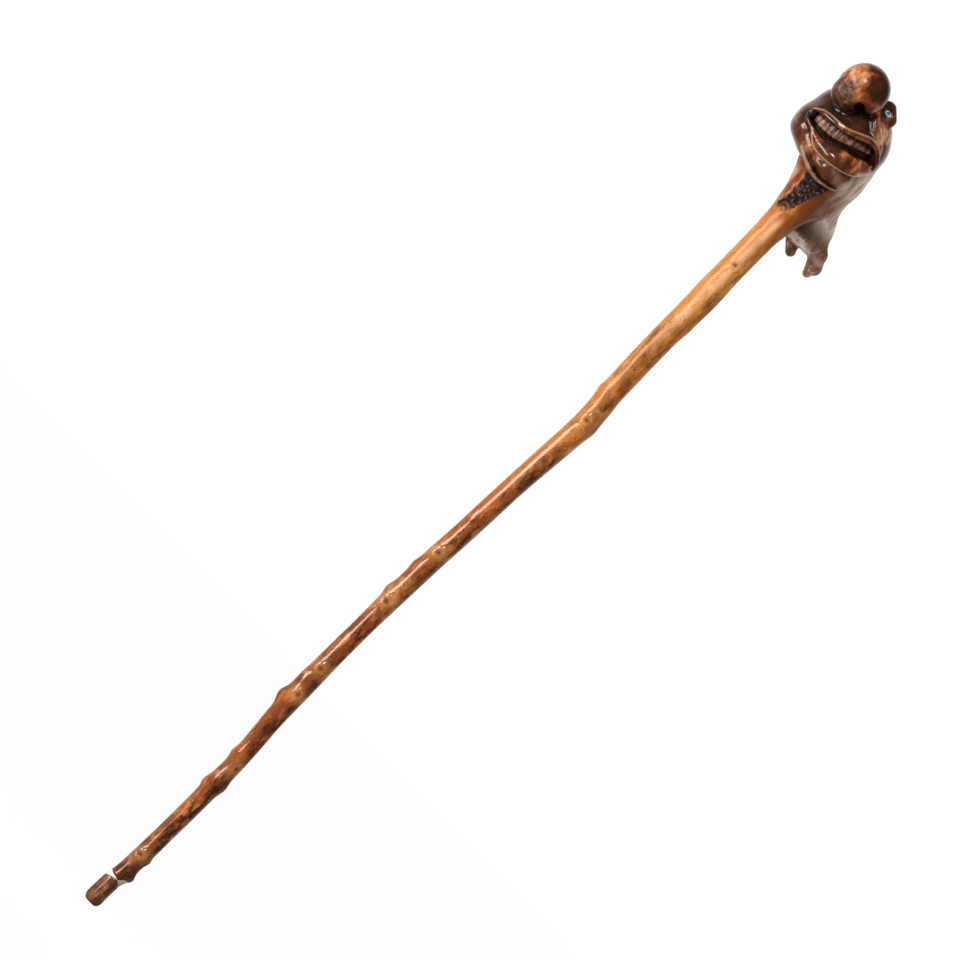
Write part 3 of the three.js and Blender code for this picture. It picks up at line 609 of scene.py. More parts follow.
# Place across the patch of bark, from -1 to 1, and how strongly it shows at that height
def bark_place(x, y, z):
    x_share, z_share = head_shares(x, z)
    f = np.clip((z_share - bark_low_share) / (bark_top_share - bark_low_share), 0, 1)
    half = bark_half_low_share + (bark_half_top_share - bark_half_low_share) * f
    middle = bark_middle_low_share + (bark_middle_top_share - bark_middle_low_share) * f
    wander = bark_wander_share * noise(x, y, z, bark_wander_size)
    wander = wander + bark_crumb_share * noise(x, y, z, bark_crumb_size)
    across = (x_share - middle + wander) / half
    low = smooth(*[bark_low_share + share for share in bark_low_fade_shares], z_share + 2 * wander)
    top = smooth(*[bark_top_share + share for share in bark_top_fade_shares], z_share)
    return across, low * top * (y < head_y)


def bark_mask(x, y, z):
    across, tall = bark_place(x, y, z)
    return (1 - smooth(*bark_side_fade_shares, np.abs(across))) * tall


# Strip of wood beside the bark
def beside_bark(x, y, z, middle, half):
    across, tall = bark_place(x, y, z)
    return np.exp(-((across - middle) / half) ** 2) * tall


def scar_mask(x, y, z):
    away = np.sqrt(sum((v - c) ** 2 for v, c in zip((x, y, z), spot(*scar_shares)))) / scar_radius
    return 1 - smooth(*scar_fade_shares, away + scar_wander_share * noise(x, y, z, scar_wander_size))


def furrow_mask(x, y, z):
    x_share, z_share = head_shares(x, z)
    low = smooth(root_floor_share, root_floor_share + furrow_low_fade_share, z_share)
    return low * (1 - smooth(*furrow_top_shares, z_share)) * smooth(*furrow_side_shares, x_share)


def furrows(x, y, z):
    lean = x + grain_turn * (z - head_z)
    return np.abs(noise(lean, y, z, furrow_size, furrow_stretch)) - furrow_level


def bark(x, y, z):
    return np.abs(noise(x, y, z, bark_size)) + bark_fine_share * noise(x, y, z, bark_size / 2)


# Place on the chart of the face, and whether it lies on the front
def on_face(x, y, z):
    u = face_radius * np.arctan2(x - head_x, np.maximum(head_y - y, 1e-6))
    return u, z - head_z, y < head_y


def head_field(x, y, z):
    bare = crown(x, y, z)
    chin_here = chin(x, y, z)
    skin = join(bare, chin_here, mass_soft)
    nose = join(nose_ball(x, y, z), nose_root(x, y, z), mass_soft)
    base = head_z + head_height * nose_base(head_shares(x, z)[0])
    nose = carve(nose, z - base, crease_soft)
    field = join(bare, root_field(x, y, z), root_soft)
    field = join(field, nose, crease_soft)
    field = join(field, nose_lobe(x, y, z), lobe_soft)
    for hood in hoods:
        field = join(field, hood(x, y, z), hood_soft)
    field = join(field, chin_here, edge_soft)
    field = carve(field, hollow(x, y, z), hood_soft)
    u, h, front = on_face(x, y, z)
    face = field
    for lip in lips:
        face = join(face, lip(u, h, skin), crease_soft)
    face = join(face, lip_edge(u, h, face), rim_half)
    face = join(face, cheek_fold(u, h, skin), fold_soft)
    face = carve(face, mouth_field(u, h, skin), crease_soft)
    face = join(face, teeth_field(u, h, skin), crease_soft / 2)
    field = np.where(front, face, field)
    for eye in eyes:
        field = carve(field, eye.bowl(x, y, z), edge_soft)
        field = join(field, eye.lid(x, y, z), lid_half)
        field = np.maximum(field, -eye.socket(x, y, z))
    return carve(field, nostril(x, y, z), crease_soft)


# Distance from the skin of the shaft
def shaft_field(x, y, z):
    away, angle = round_shaft(x, y, z)
    return away - shaft_radius(z, angle)


def wood_field(x, y, z):
    shaft = np.maximum(shaft_field(x, y, z), z - flare_shares[-1][0] * stick_length)
    field = join(head_field(x, y, z), shaft, crease_soft)
    field = field + bark_mask(x, y, z) * (bark_sink - bark_height * bark(x, y, z))
    field = field - bark_rim_height * beside_bark(x, y, z, *bark_rim_shares)
    field = field + scar_height * scar_mask(x, y, z) * bark(x, y, z)
    field = field + furrow_height * furrow_mask(x, y, z) * furrows(x, y, z)
    return field - carving(x, y, z)


# The root below the head, away from the shaft
def root_mask(x, y, z):
    low = smooth(*root_top_shares, head_shares(x, z)[1])
    return low * smooth(0, root_edge, shaft_field(x, y, z) - root_field(x, y, z))


def tooth_mask(x, y, z):
    u, h, front = on_face(x, y, z)
    skin = join(crown(x, y, z), chin(x, y, z), mass_soft)
    return front * (teeth_field(u, h, skin) < crease_soft / 4)


# Pale line along the edge of the lips, the jaw and the bark: a painted highlight on these edges
def rim_mask(x, y, z):
    u, h, front = on_face(x, y, z)
    lip_line = 1 - smooth(0, rim_half, lip_edge(u, h, 0 * u))
    jaw_line = 1 - smooth(0, jaw_line_half, jaw_edge(u, h, 0 * u))
    bark_line = beside_bark(x, y, z, *bark_line_shares)
    bark_line = bark_line * smooth(*bark_line_top_shares, head_shares(x, z)[1])
    return front * np.maximum(np.maximum(lip_line, jaw_line_share * jaw_line), bark_line)


# Steps along an axis between two ends
def steps_between(low, high, step):
    return np.linspace(low, high, round((high - low) / step) + 1)


# Values of a field on a fine grid: exact near the surface, taken from a coarse grid away from it
def grid_values(field, axes):
    coarse = [steps_between(axis[0], axis[-1], band_step) for axis in axes]
    values = field(*np.meshgrid(*coarse, indexing="ij"))
    for axis, (fine, rough) in enumerate(zip(axes, coarse)):
        i = np.clip(np.searchsorted(rough, fine) - 1, 0, len(rough) - 2)
        f = (fine - rough[i]) / (rough[i + 1] - rough[i])
        shape = [-1 if other == axis else 1 for other in range(3)]
        f = f.reshape(shape)
        values = values.take(i, axis) * (1 - f) + values.take(i + 1, axis) * f
    near = np.nonzero(np.abs(values) < band_half)
    values[near] = field(*[axis[i] for axis, i in zip(axes, near)])
    return values


# Net over the zero surface: a point in each crossed cell and a quad round each crossed edge
def net_over(field, axes):
    values = grid_values(field, axes)
    inside = values < 0
    cells = [size - 1 for size in values.shape]
    corners = [tuple(corner >> axis & 1 for axis in range(3)) for corner in range(8)]
    views = [inside[tuple(slice(bit, bit + size) for bit, size in zip(c, cells))] for c in corners]
    crossed = np.logical_or.reduce(views) & ~np.logical_and.reduce(views)
    active = np.array(np.nonzero(crossed))
    number = np.full(crossed.shape, -1)
    number[tuple(active)] = np.arange(active.shape[1])
    total = np.zeros((active.shape[1], 3))
    count = np.zeros(active.shape[1])
    for low in corners:
        for axis in range(3):
            if low[axis]:
                continue
            high = tuple(1 if other == axis else bit for other, bit in enumerate(low))
            a_index = tuple(active + np.array(low)[:, None])
            b_index = tuple(active + np.array(high)[:, None])
            a, b = values[a_index], values[b_index]
            cut = (a < 0) != (b < 0)
            f = np.where(cut, a / np.where(cut, a - b, 1), 0)
            for other in range(3):
                start = axes[other][a_index[other]]
                total[:, other] += cut * (start + f * (axes[other][b_index[other]] - start))
            count += cut
    points = total / count[:, None]
    quads = []
    for axis in range(3):
        second, third = (axis + 1) % 3, (axis + 2) % 3
        ahead = np.roll(inside, -1, axis)
        ends = [slice(1, size) for size in cells]
        ends[axis] = slice(0, cells[axis])
        window = np.zeros(inside.shape, bool)
        window[tuple(ends)] = True
        edge = np.array(np.nonzero((inside != ahead) & window))
        ring = []
        for back_second, back_third in ((0, 0), (1, 0), (1, 1), (0, 1)):
            cell = edge.copy()
            cell[second] -= back_second
            cell[third] -= back_third
            ring.append(number[tuple(cell)])
        ring = np.array(ring).T
        leaving = inside[tuple(edge)]
        quads.append(np.where(leaving[:, None], ring, ring[:, ::-1]))
    return points, np.vstack(quads)


def gradient(field, points, step):
    slopes = []
    for axis in range(3):
        ahead = points.copy()
        behind = points.copy()
        ahead[:, axis] += step
        behind[:, axis] -= step
        slopes.append((field(*ahead.T) - field(*behind.T)) / (2 * step))
    return np.array(slopes).T


# Moves the points of a net onto the surface that it follows
def settle(field, points):
    for _ in range(settle_rounds):
        slope = gradient(field, points, settle_step)
        length = np.maximum(np.sum(slope ** 2, 1), settle_slope)
        move = -field(*points.T) / length
        points = points + np.clip(move[:, None] * slope, -settle_cap, settle_cap)
    return points


# Heights of a joint line of the foot, drawn from the front
def bow(left, right, lift, x):
    left_mid = pinch_height + (left - pinch_height) * bow_share
    right_mid = pinch_height + (right - pinch_height) * bow_share
    steps = np.linspace(0, 1, bow_steps)

    def bend(a, b, c):
        return (1 - steps) ** 2 * a + 2 * steps * (1 - steps) * b + steps ** 2 * c

    across = np.concatenate([
        bend(-line_reach, -line_reach / 2, pinch_shift)[:-1], bend(pinch_shift, line_reach / 2, line_reach),
    ])
    height = np.concatenate([
        bend(left, left_mid, pinch_height)[:-1], bend(pinch_height, right_mid, right),
    ])
    return np.interp(x, across, height) + lift


low_line = (pinch_height - collar_left * collar_low_share, pinch_height - collar_right * collar_low_share)
high_line = (pinch_height + collar_left * (1 - collar_low_share),
             pinch_height + collar_right * (1 - collar_low_share))


def blank_radius(z, angle):
    round_z = np.clip(z / foot_round, 0, 1)
    cap = (foot_flat + (foot_bulge - foot_flat) * np.sqrt(1 - (1 - round_z) ** 2)) / 2
    slim = smooth(foot_round, foot_length, z)
    body = shaft_radius(z, angle) + (foot_bulge - tip_diameter) / 2 * (1 - slim)
    return np.where(z < foot_round, cap, body)


angles = np.arange(ring_sides) * turn / ring_sides


# Ring on the outside of the blank; the height may change round the ring
def outer_ring(z, inset=0):
    z = np.broadcast_to(z, angles.shape).astype(float)
    centre_x, centre_y = shaft_centre(z)
    radius = blank_radius(z, angles) - inset
    x = centre_x + radius * np.cos(angles)
    y = centre_y + radius * np.sin(angles)
    wave = carving(x, y, z) * smooth(0, foot_round, z)
    return np.stack([x + wave * np.cos(angles), y + wave * np.sin(angles), z], 1)


# Rings on the outside from one height or row of heights to another
def rings_between(low, high, count, first=0):
    return [outer_ring(low + (high - low) * step / count) for step in range(first, count + 1)]


# Ring on the outside where the blank meets a joint line, moved along and inwards by an edge radius
def joint_ring(line, lift, inset=0):
    z = np.full(angles.shape, pinch_height)
    for _ in range(joint_rounds):
        x = shaft_centre(z)[0] + blank_radius(z, angles) * np.cos(angles)
        z = bow(*line, lift, x)
    return outer_ring(z, inset)


def bore_ring(z):
    x = dowel_shift + bore_radius * np.cos(angles)
    y = bore_radius * np.sin(angles)
    return np.stack([x, y, np.broadcast_to(z, angles.shape).astype(float)], 1)


# Rings down the bore from a joint face to its end
def bore_rings(start, end, steps):
    return [bore_ring(start + (end - start) * f) for f in steps]


# Rings across a joint face, from the outside to the bore
def joint_face(line, lift):
    outside = joint_ring(line, lift, edge_round)
    rings = [outside]
    for step in range(1, end_rings + 1):
        ring = outside + (bore_ring(0) - outside) * (step / end_rings)
        ring[:, 2] = bow(*line, lift, ring[:, 0])
        rings.append(ring)
    return rings


# Points and quads of a tube through rings
def skin_rings(rings, closed_loop=False):
    sides = len(rings[0])
    quads = []
    for r in range(len(rings) - (not closed_loop)):
        below = r * sides + np.arange(sides)
        above = (r + 1) % len(rings) * sides + np.arange(sides)
        quads.append(np.stack([below, np.roll(below, -1), np.roll(above, -1), above], 1))
    return np.vstack(rings), np.vstack(quads)


# Triangles from a ring to a point in its middle
def fan(ring_start, centre, flip):
    here = ring_start + np.arange(ring_sides)
    after = np.roll(here, -1)
    middle = np.full(ring_sides, centre)
    return np.stack([middle, after, here] if flip else [middle, here, after], 1)


def mesh_object(name, points, faces):
    mesh = bpy.data.meshes.new(name)
    mesh.from_pydata(points.tolist(), [], [face for group in faces for face in group.tolist()])
    mesh.update()
    mesh.shade_smooth()
    piece = bpy.data.objects.new(name, mesh)
    bpy.context.scene.collection.objects.link(piece)
    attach(piece, "root")
    return piece


def paint(piece, name, values):
    layer = piece.data.attributes.new(name, "FLOAT", "POINT")
    layer.data.foreach_set("value", np.asarray(values, np.float32))


# Heights of the rings of the shaft, closer together at the knots
def shaft_heights(low, high):
    heights = [low]
    while heights[-1] < high - ring_step:
        here = heights[-1]
        close = any(abs(here - knot[0] * stick_length) < 2 * knot[3] * knot_reach for knot in knot_shares)
        heights.append(here + (knot_step if close else ring_step))
    return heights


# Band of triangles between the top ring of the shaft and the open lower edge of the net
def bridge(points, lower, loop):
    def angle_of(index):
        return round_shaft(*points[index].T)[1] % turn

    upper = loop[np.argsort(angle_of(loop))]
    lower_angle = np.append(angle_of(lower), turn)
    lower_angle[0] = 0
    upper_angle = np.append(angle_of(upper), angle_of(upper)[0] + turn)
    faces = []
    i = j = 0
    while i < len(lower) or j < len(upper):
        here, there = lower[i % len(lower)], upper[j % len(upper)]
        if j >= len(upper) or (i < len(lower) and lower_angle[i + 1] <= upper_angle[j + 1]):
            faces.append([here, lower[(i + 1) % len(lower)], there])
            i += 1
        else:
            faces.append([here, upper[(j + 1) % len(upper)], there])
            j += 1
    return np.array(faces)


# Points on the open lower edge of a net
def open_edge(quads):
    after = np.roll(quads, -1, 1)
    span = quads.max() + 1
    forward = (quads * span + after).ravel()
    backward = (after * span + quads).ravel()
    return np.unique(quads.ravel()[~np.isin(forward, backward)])


# Box of the net round the head and root, as shares of the head
net_low_shares = (-0.56, -0.72, 0)
net_high_shares = (0.84, 0.74, 0.56)

# How far in front of the wood, and how far under it, two of the masks look for more wood; the first gives
# the painted shade in the hollows
hollow_reaches = (0.0012, 0.003, 0.007)
crest_reaches = (0.0009, 0.0022)

# Masks painted on the wood for its colours
painted = ("burn", "halo", "stain", "rim", "root", "bark", "scar", "tooth", "hollow", "crest")


# How enclosed each point is on side 1, or how far the wood thins out under it on side -1
def closeness(points, normals, reaches, side):
    total = 0
    for reach in reaches:
        room = side * wood_field(*(points + side * normals * reach).T) / reach
        total = total + np.clip(1 - room, 0, 1)
    return total / len(reaches)


def make_wood():
    lift = collar_pinch / 2
    face = joint_face(high_line, lift)[::-1]
    bore_top = pinch_height + dowel_length / 2 + seat_gap
    bore = bore_rings(face[0][:, 2], bore_top, np.linspace(1, 0, end_rings, endpoint=False))
    edge = joint_ring(high_line, lift + edge_round)
    flat_z = pinch_height + collar_right + collar_left / 2
    rings = bore + face + [edge] + rings_between(edge[:, 2], flat_z, end_rings, 1)
    rings += [outer_ring(z) for z in shaft_heights(flat_z + ring_step, join_height)]
    points, quads = skin_rings(rings)
    cap = fan(0, len(points), True)
    points = np.vstack([points, [[dowel_shift, 0, bore_top]]])

    low = spot(*net_low_shares)
    high = spot(*net_high_shares)
    ends = [(low[0], high[0]), (low[1], high[1]), (rings[-1][0, 2] + net_step / 2, high[2])]
    net_points, net_quads = net_over(wood_field, [steps_between(*end, net_step) for end in ends])
    net_points = settle(wood_field, net_points)
    slope = gradient(wood_field, net_points, settle_step)
    normals = slope / np.linalg.norm(slope, axis=1)[:, None]
    net_quads = net_quads + len(points)
    all_points = np.vstack([points, net_points])
    top_ring = (len(rings) - 1) * ring_sides + np.arange(ring_sides)
    band = bridge(all_points, top_ring, open_edge(net_quads))
    wood = mesh_object("wood", all_points, [cap, quads, band, net_quads])

    eye, halo = knots_at(points[:, 2], round_shaft(*points.T)[1])[1:]
    shown = {name: np.concatenate([values, np.zeros(len(net_points))])
             for name, values in (("burn", eye), ("halo", halo))}
    masks = {"stain": stain, "rim": rim_mask, "root": root_mask, "bark": bark_mask, "scar": scar_mask,
             "tooth": tooth_mask}
    carved = {name: mask(*net_points.T) for name, mask in masks.items()}
    # How enclosed each point is, laid on as painted shade in the hollows
    carved["hollow"] = closeness(net_points, normals, hollow_reaches, 1)
    carved["crest"] = closeness(net_points, normals, crest_reaches, -1)
    for name, values in carved.items():
        shown[name] = np.concatenate([np.zeros(len(points)), values])
    for name in painted:
        paint(wood, name, shown[name])
    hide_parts("stick_wood")
    return wood


def make_tip():
    lift = -collar_pinch / 2
    edge = joint_ring(low_line, lift - edge_round)
    shoulder = (foot_round + edge[:, 2].min()) / 2
    bends = [step * turn / 4 / end_rings for step in range(end_rings + 1)]
    low = [outer_ring(foot_round * (1 - math.cos(bend))) for bend in bends]
    low += rings_between(foot_round, shoulder, shoulder_rings, 1)
    low += rings_between(shoulder, edge[:, 2], end_rings, 1)
    face = joint_face(low_line, lift)
    bore_low = pinch_height - dowel_length / 2 - seat_gap
    rings = low + face + bore_rings(face[-1][:, 2], bore_low, np.linspace(0, 1, end_rings + 1)[1:])
    points, quads = skin_rings(rings)
    caps = [fan(0, len(points), True), fan((len(rings) - 1) * ring_sides, len(points) + 1, False)]
    points = np.vstack([points, [[*shaft_centre(0), 0]], [[dowel_shift, 0, bore_low]]])
    tip = mesh_object("end_piece", points, [quads] + caps)
    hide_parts("tip_piece")
    return tip


def make_collar():
    low_lift = joint_gap - collar_pinch / 2
    high_lift = collar_pinch / 2 - joint_gap
    low = joint_ring(low_line, low_lift)
    high = joint_ring(high_line, high_lift)
    side = rings_between(low[:, 2], high[:, 2], end_rings)
    top = joint_face(high_line, high_lift)[1:]
    bottom = joint_face(low_line, low_lift)[1:][::-1]
    bore = [top[-1] + (bottom[0] - top[-1]) * f for f in np.linspace(0, 1, end_rings)[1:-1]]
    points, quads = skin_rings(side + top + bore + bottom, True)
    collar = mesh_object("collar", points, [quads])
    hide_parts("tip_collar")
    return collar


# Closed body turned round the outward line of an eye, from rows of radius and height
def lathe(name, eye, profile, squash=(1, 1)):
    bearings = [side * turn / eye_sides for side in range(eye_sides)]
    rings = []
    for radius, outward in profile:
        rings.append([eye.world(radius * math.cos(bearing) * squash[0],
                                radius * math.sin(bearing) * squash[1], outward) for bearing in bearings])
    points, quads = skin_rings(np.array(rings))
    ends = np.array([np.arange(eye_sides)[::-1], len(points) - eye_sides + np.arange(eye_sides)])
    piece = mesh_object(name, points, [quads, ends])
    paint(piece, "away", np.hypot(*eye.local(*points.T)[:2]) / (iris_diameter / 2))
    return piece


# Almond white of an eye with a seat for the bead, and the domed bead
def make_eye(eye):
    floor = eye_depth / 2 - iris_sink
    seat = iris_diameter / 2 + joint_gap
    white = []
    for step in range(1, eye_rings):
        bend = -turn / 4 + turn / 2 * step / eye_rings
        radius, outward = math.cos(bend), math.sin(bend) * eye_depth / 2
        if outward > 0 and radius * eye_height / 2 < seat:
            break
        white.append((radius, outward))
    piece = lathe(f"white_{eye.name}", eye, white, (eye_length / 2, eye_height / 2))
    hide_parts(f"eye_white_{eye.name}")
    radius = iris_diameter / 2
    dome = [(radius * bead_foot_share, floor), (radius, floor), (radius, floor + iris_rim)]
    for step in range(1, dome_rings):
        bend = turn / 4 * step / dome_rings
        dome.append((radius * math.cos(bend), floor + iris_rim + iris_crown * math.sin(bend)))
    bead = lathe(f"bead_{eye.name}", eye, dome)
    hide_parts(f"iris_{eye.name}")
    return piece, bead


def srgb(red, green, blue):
    def linear(value):
        value /= 255
        return value / 12.92 if value <= 0.04045 else ((value + 0.055) / 1.055) ** 2.4

    return (linear(red), linear(green), linear(blue), 1)


# Nodes of a surface or of the studio: short calls add them and link them
class Network:
    def __init__(self, tree):
        self.nodes = tree.nodes
        self.links = tree.links

    # Sets inputs of a node to values, or links them
    def fill(self, node, inputs):
        for key, value in inputs.items():
            if isinstance(value, bpy.types.NodeSocket):
                self.links.new(value, node.inputs[key])
            else:
                node.inputs[key].default_value = value
        return node

    def add(self, kind, inputs):
        return self.fill(self.nodes.new("ShaderNode" + kind), inputs)

    def split(self, vector):
        return self.add("SeparateXYZ", {"Vector": vector}).outputs

    def math(self, operation, first, second, clamp=False):
        node = self.add("Math", {0: first, 1: second})
        node.operation = operation
        node.use_clamp = clamp
        return node.outputs["Value"]

    # One operation over several values in turn
    def chain(self, operation, first, *others):
        for other in others:
            first = self.math(operation, first, other)
        return first

    def times(self, *values):
        return self.chain("MULTIPLY", *values)

    def plus(self, *values):
        return self.chain("ADD", *values)

    # Maps a value from one span to another and keeps it inside
    def spread(self, value, low, high, to_low=0, to_high=1, bend="LINEAR"):
        inputs = {"Value": value, "From Min": low, "From Max": high, "To Min": to_low, "To Max": to_high}
        node = self.add("MapRange", inputs)
        node.interpolation_type = bend
        return node.outputs["Result"]


class Finish(Network):
    def __init__(self, name):
        self.material = bpy.data.materials.new(name)
        self.material.use_nodes = True
        super().__init__(self.material.node_tree)
        self.shader = self.nodes["Principled BSDF"]
        self.place = self.nodes.new("ShaderNodeTexCoord").outputs["Object"]

    def stretch(self, scale, turned):
        inputs = {"Vector": self.place, "Scale": scale, "Rotation": turned}
        return self.add("Mapping", inputs).outputs["Vector"]

    # Grain that may be drawn out along the stick, turned, and squeezed from front to back
    def grain(self, scale, detail, rough=0.5, twist=0, along=1, turned=(0, 0, 0), deep=1):
        place = self.place if along == 1 else self.stretch((1, deep, along), turned)
        inputs = {"Vector": place, "Scale": scale, "Detail": detail, "Roughness": rough}
        return self.add("TexNoise", {**inputs, "Distortion": twist}).outputs["Fac"]

    def attribute(self, name):
        node = self.nodes.new("ShaderNodeAttribute")
        node.attribute_name = name
        return node.outputs["Fac"]

    def ramp(self, value, stops):
        node = self.add("ValToRGB", {"Fac": value})
        elements = node.color_ramp.elements
        while len(elements) < len(stops):
            elements.new(1)
        for element, (at, *color) in zip(elements, stops):
            element.position = at
            element.color = srgb(*color)
        return node.outputs["Color"]

    # Lays colours over the first one, each through its mask
    def lay(self, color, layers):
        for mask, over in layers:
            node = self.nodes.new("ShaderNodeMix")
            node.data_type = "RGBA"
            color = self.fill(node, {0: mask, 6: color, 7: over}).outputs[2]
        return color

    def bump(self, height, strength, distance, **under):
        inputs = {"Height": height, "Strength": strength, "Distance": distance, **under}
        return self.add("Bump", inputs).outputs["Normal"]

    def on(self, *pieces):
        for piece in pieces:
            piece.data.materials.clear()
            piece.data.materials.append(self.material)


deep_brown = srgb(58, 28, 14)
near_black = srgb(24, 12, 8)
amber_brown = srgb(120, 60, 24)
warm_orange = srgb(196, 112, 50)
light_amber = srgb(222, 152, 82)
# Painted sheen down the upper shaft
painted_sheen_band = srgb(236, 184, 136)
pale_tan = srgb(196, 156, 118)
# Painted shade on the right of the neck
neck_shade_brown = srgb(98, 60, 38)
neck_ember = srgb(112, 50, 16)
# Painted reflection: pale colour on the right edge of the face
painted_cheek_reflection = srgb(206, 184, 164)
bone_cream = srgb(240, 236, 225)
vein_brown = srgb(170, 152, 122)
eye_white = srgb(254, 252, 248)
root_groove = srgb(58, 44, 36)
root_brown = srgb(104, 78, 62)
# Painted shade on the collar's right flank
collar_shade = srgb(128, 110, 92)

# Colour along the clear wood of the stick: height share, then red, green and blue
height_colors = [
    (0, 96, 44, 18), (0.05, 102, 48, 18), (0.1, 170, 84, 30), (0.2, 158, 78, 28), (0.28, 130, 62, 22),
    (0.4, 142, 68, 24), (0.5, 170, 90, 33), (0.58, 194, 117, 49), (0.7, 200, 129, 57),
    (0.8, 206, 136, 65), (0.84, 194, 119, 55), (0.862, 164, 88, 38), (0.88, 130, 68, 32),
    (0.9, 108, 58, 32),
]

# The same up the root from its cut, as shares of its reach; the near-white band above the cut and the pale
# top are partly the root's grey wood, partly a painted reflection
root_colors = [
    (0, 128, 92, 76), (0.06, 248, 230, 214), (0.19, 250, 234, 218), (0.25, 150, 118, 98),
    (0.33, 88, 68, 54), (0.48, 106, 88, 74), (0.62, 158, 136, 120), (0.85, 222, 200, 184),
    (1, 196, 174, 158),
]
root_reach = 0.036
root_start = root_floor - 0.001
root_lean = 0.7

# How far stains darken the head and pale patches, some of them painted highlights, lighten it, how far
# rough wood dulls the varnish, and where a knot's eye is all black
stain_and_sheen_share = -0.2
broken_share = 0.5
burn_full = 1 / 0.85

# Colours that follow a grain, from its dark to its pale end
head_colors = [
    (0.26, 52, 30, 20), (0.38, 72, 37, 21), (0.48, 98, 46, 22), (0.57, 134, 70, 34),
    (0.68, 178, 112, 66), (0.8, 206, 158, 120),
]
foot_colors = [(0.3, 84, 44, 22), (0.5, 140, 88, 52), (0.7, 184, 132, 88)]
dowel_colors = [(0.3, 150, 108, 66), (0.7, 208, 170, 120)]
tone_colors = {
    "prong": [(0.36, 70, 46, 36), (0.48, 136, 92, 74), (0.58, 150, 112, 94),
              (0.68, 214, 192, 176)],
    "tooth": [(0.35, 70, 44, 34), (0.5, 112, 76, 62), (0.65, 156, 118, 102)],
    "bark": [(0.4, 24, 12, 8), (0.55, 62, 40, 32), (0.72, 146, 118, 106)],
    "scar": [(0.35, 58, 28, 14), (0.5, 88, 66, 54), (0.6, 124, 92, 76), (0.72, 196, 112, 50)],
}

# Colour of a bead from its middle to its rim
bead_colors = [
    (0, 10, 40, 46), (0.24, 14, 60, 66), (0.4, 54, 150, 152), (0.8, 80, 178, 172), (0.95, 20, 84, 92),
]

# Grain: fineness, detail, roughness, twist, how it is drawn out along the stick, its turn, and its depth
foot_streak = (420, 4, 0.6, 0, 0.12)
foot_blotch = (150, 3)
bone_vein = (700, 4, 0.6, 0, 0.2)
dowel_streak = (500, 4, 0.6, 0, 0.08)
bead_grain = (1400, 3)
grains = {
    "drift": (18, 2), "tooth_tone": (260, 3, 0.6), "bark_tone": (380, 4, 0.6), "scar_tone": (300, 4, 0.6),
    "streak": (420, 4, 0.6, 0, 0.07), "mottle": (62, 6, 0.62, 0.6, 0.4), "glow": (90, 4, 0.6, 0.8, 0.5),
    "speck": (640, 2, 0.5, 0, 0.35), "fleck": (200, 4, 0.62, 0.3, 0.45), "ray": (150, 4, 0.6, 0.3, 0.4),
    "swirl": (70, 5, 0.6, 1.2, 0.5, (0.5, 0.3, 0)), "fine": (260, 4, 0.65, 0.8, 0.5, (0.4, 0.3, 0)),
    "scratch": (330, 3, 0.6, 0.5, 0.16, (0, -0.5, 0)), "wear": (260, 4, 0.6, 0, 0.22, (0, -0.35, 0)),
    "prong_tone": (240, 4, 0.65, 0, 0.4, (0, root_lean, 0)),
    "groove": (170, 5, 0.65, 0.4, 0.18, (0, root_lean, 0), 0.6),
}

# Bumps of a grain: strength and depth
streak_bump = (0.04, 0.0003)
mottle_bump = (0.02, 0.0012)
foot_bump = (0.03, 0.0003)
bone_bump = (0.15, 0.0002)
dowel_bump = (0.3, 0.0003)

# Spans of the other pieces: from where to where a mask changes, and from which value to which
foot_shaded_side = (-0.003, 0.004, -0.06, 0.2)
foot_dark = (0.45, 0.7, 0, 0.75)
grain_dull = (0.3, 0.7, 0.3, 0.45)
bone_span = (0.45, 0.75, 0)
collar_shade_span = (0.001, 0.0035, 0)
bead_drift = (0, 1, -0.12, 0.12)

# Zones of the wood: what a mask follows, and its span
zones = {
    "drift_rise": [("drift", 0, 1, -0.03, 0.03)],
    # Darker towards the right of the lower shaft: partly the wood's mottling, partly painted shade
    "side": [("x", -0.009, 0.009, -0.1, 0.14), ("z", 0.45, 0.6, 1, 0.45)],
    "fade": [("z", 0.5, 0.8, 0.02, -0.08)],
    "crest_rise": [("crest", 0.1, 0.5, -0.03, 0.16)],
    "fine_rise": [("fine", 0.3, 0.7, -0.09, 0.09)],
    "right_ember": [("z", 0.735, 0.775), ("z", 0.828, 0.814), ("x", -0.003, 0)],
    "left_ember": [("x", -0.0235, -0.02), ("x", -0.01, -0.012), ("z", 0.775, 0.8), ("z", 0.818, 0.812)],
    "cheek_lean": [("z", 0.83, 0.85, 0, 0.006)],
    # Pale streaks at the right edge of the face: a painted reflection
    "cheek": [("slant", 0.008, 0.014), ("z", 0.81, 0.834, 0.2, 1), ("z", 0.864, 0.848),
              ("wear", 0.38, 0.56, 0.3, 0.95)],
    "groove_rise": [("groove", 0.3, 0.7, -0.06, 0.06)],
    "prong_low": [("z", root_floor, root_floor - 0.003)],
    "prong_side": [("x", 0.022, 0.034, 0, 0.8)],
    "head": [("z", 0.815, 0.845)],
    "nose": [("y", -0.041, -0.047, 0, 0.65), ("z", 0.866, 0.876)],
    "tooth_dull": [("tooth", 0, 1, 0, 0.7)],
    "bark_dull": [("bark", 0, 1, 0, 0.3)],
    "streak_dull": [("streak", 0.3, 0.7, -0.04, 0.04)],
    "dull": [("z", 0.5, 0.64, 0.6, 0.3)],
    "coat": [("z", 0.5, 0.64, 1, 0.25)],
}

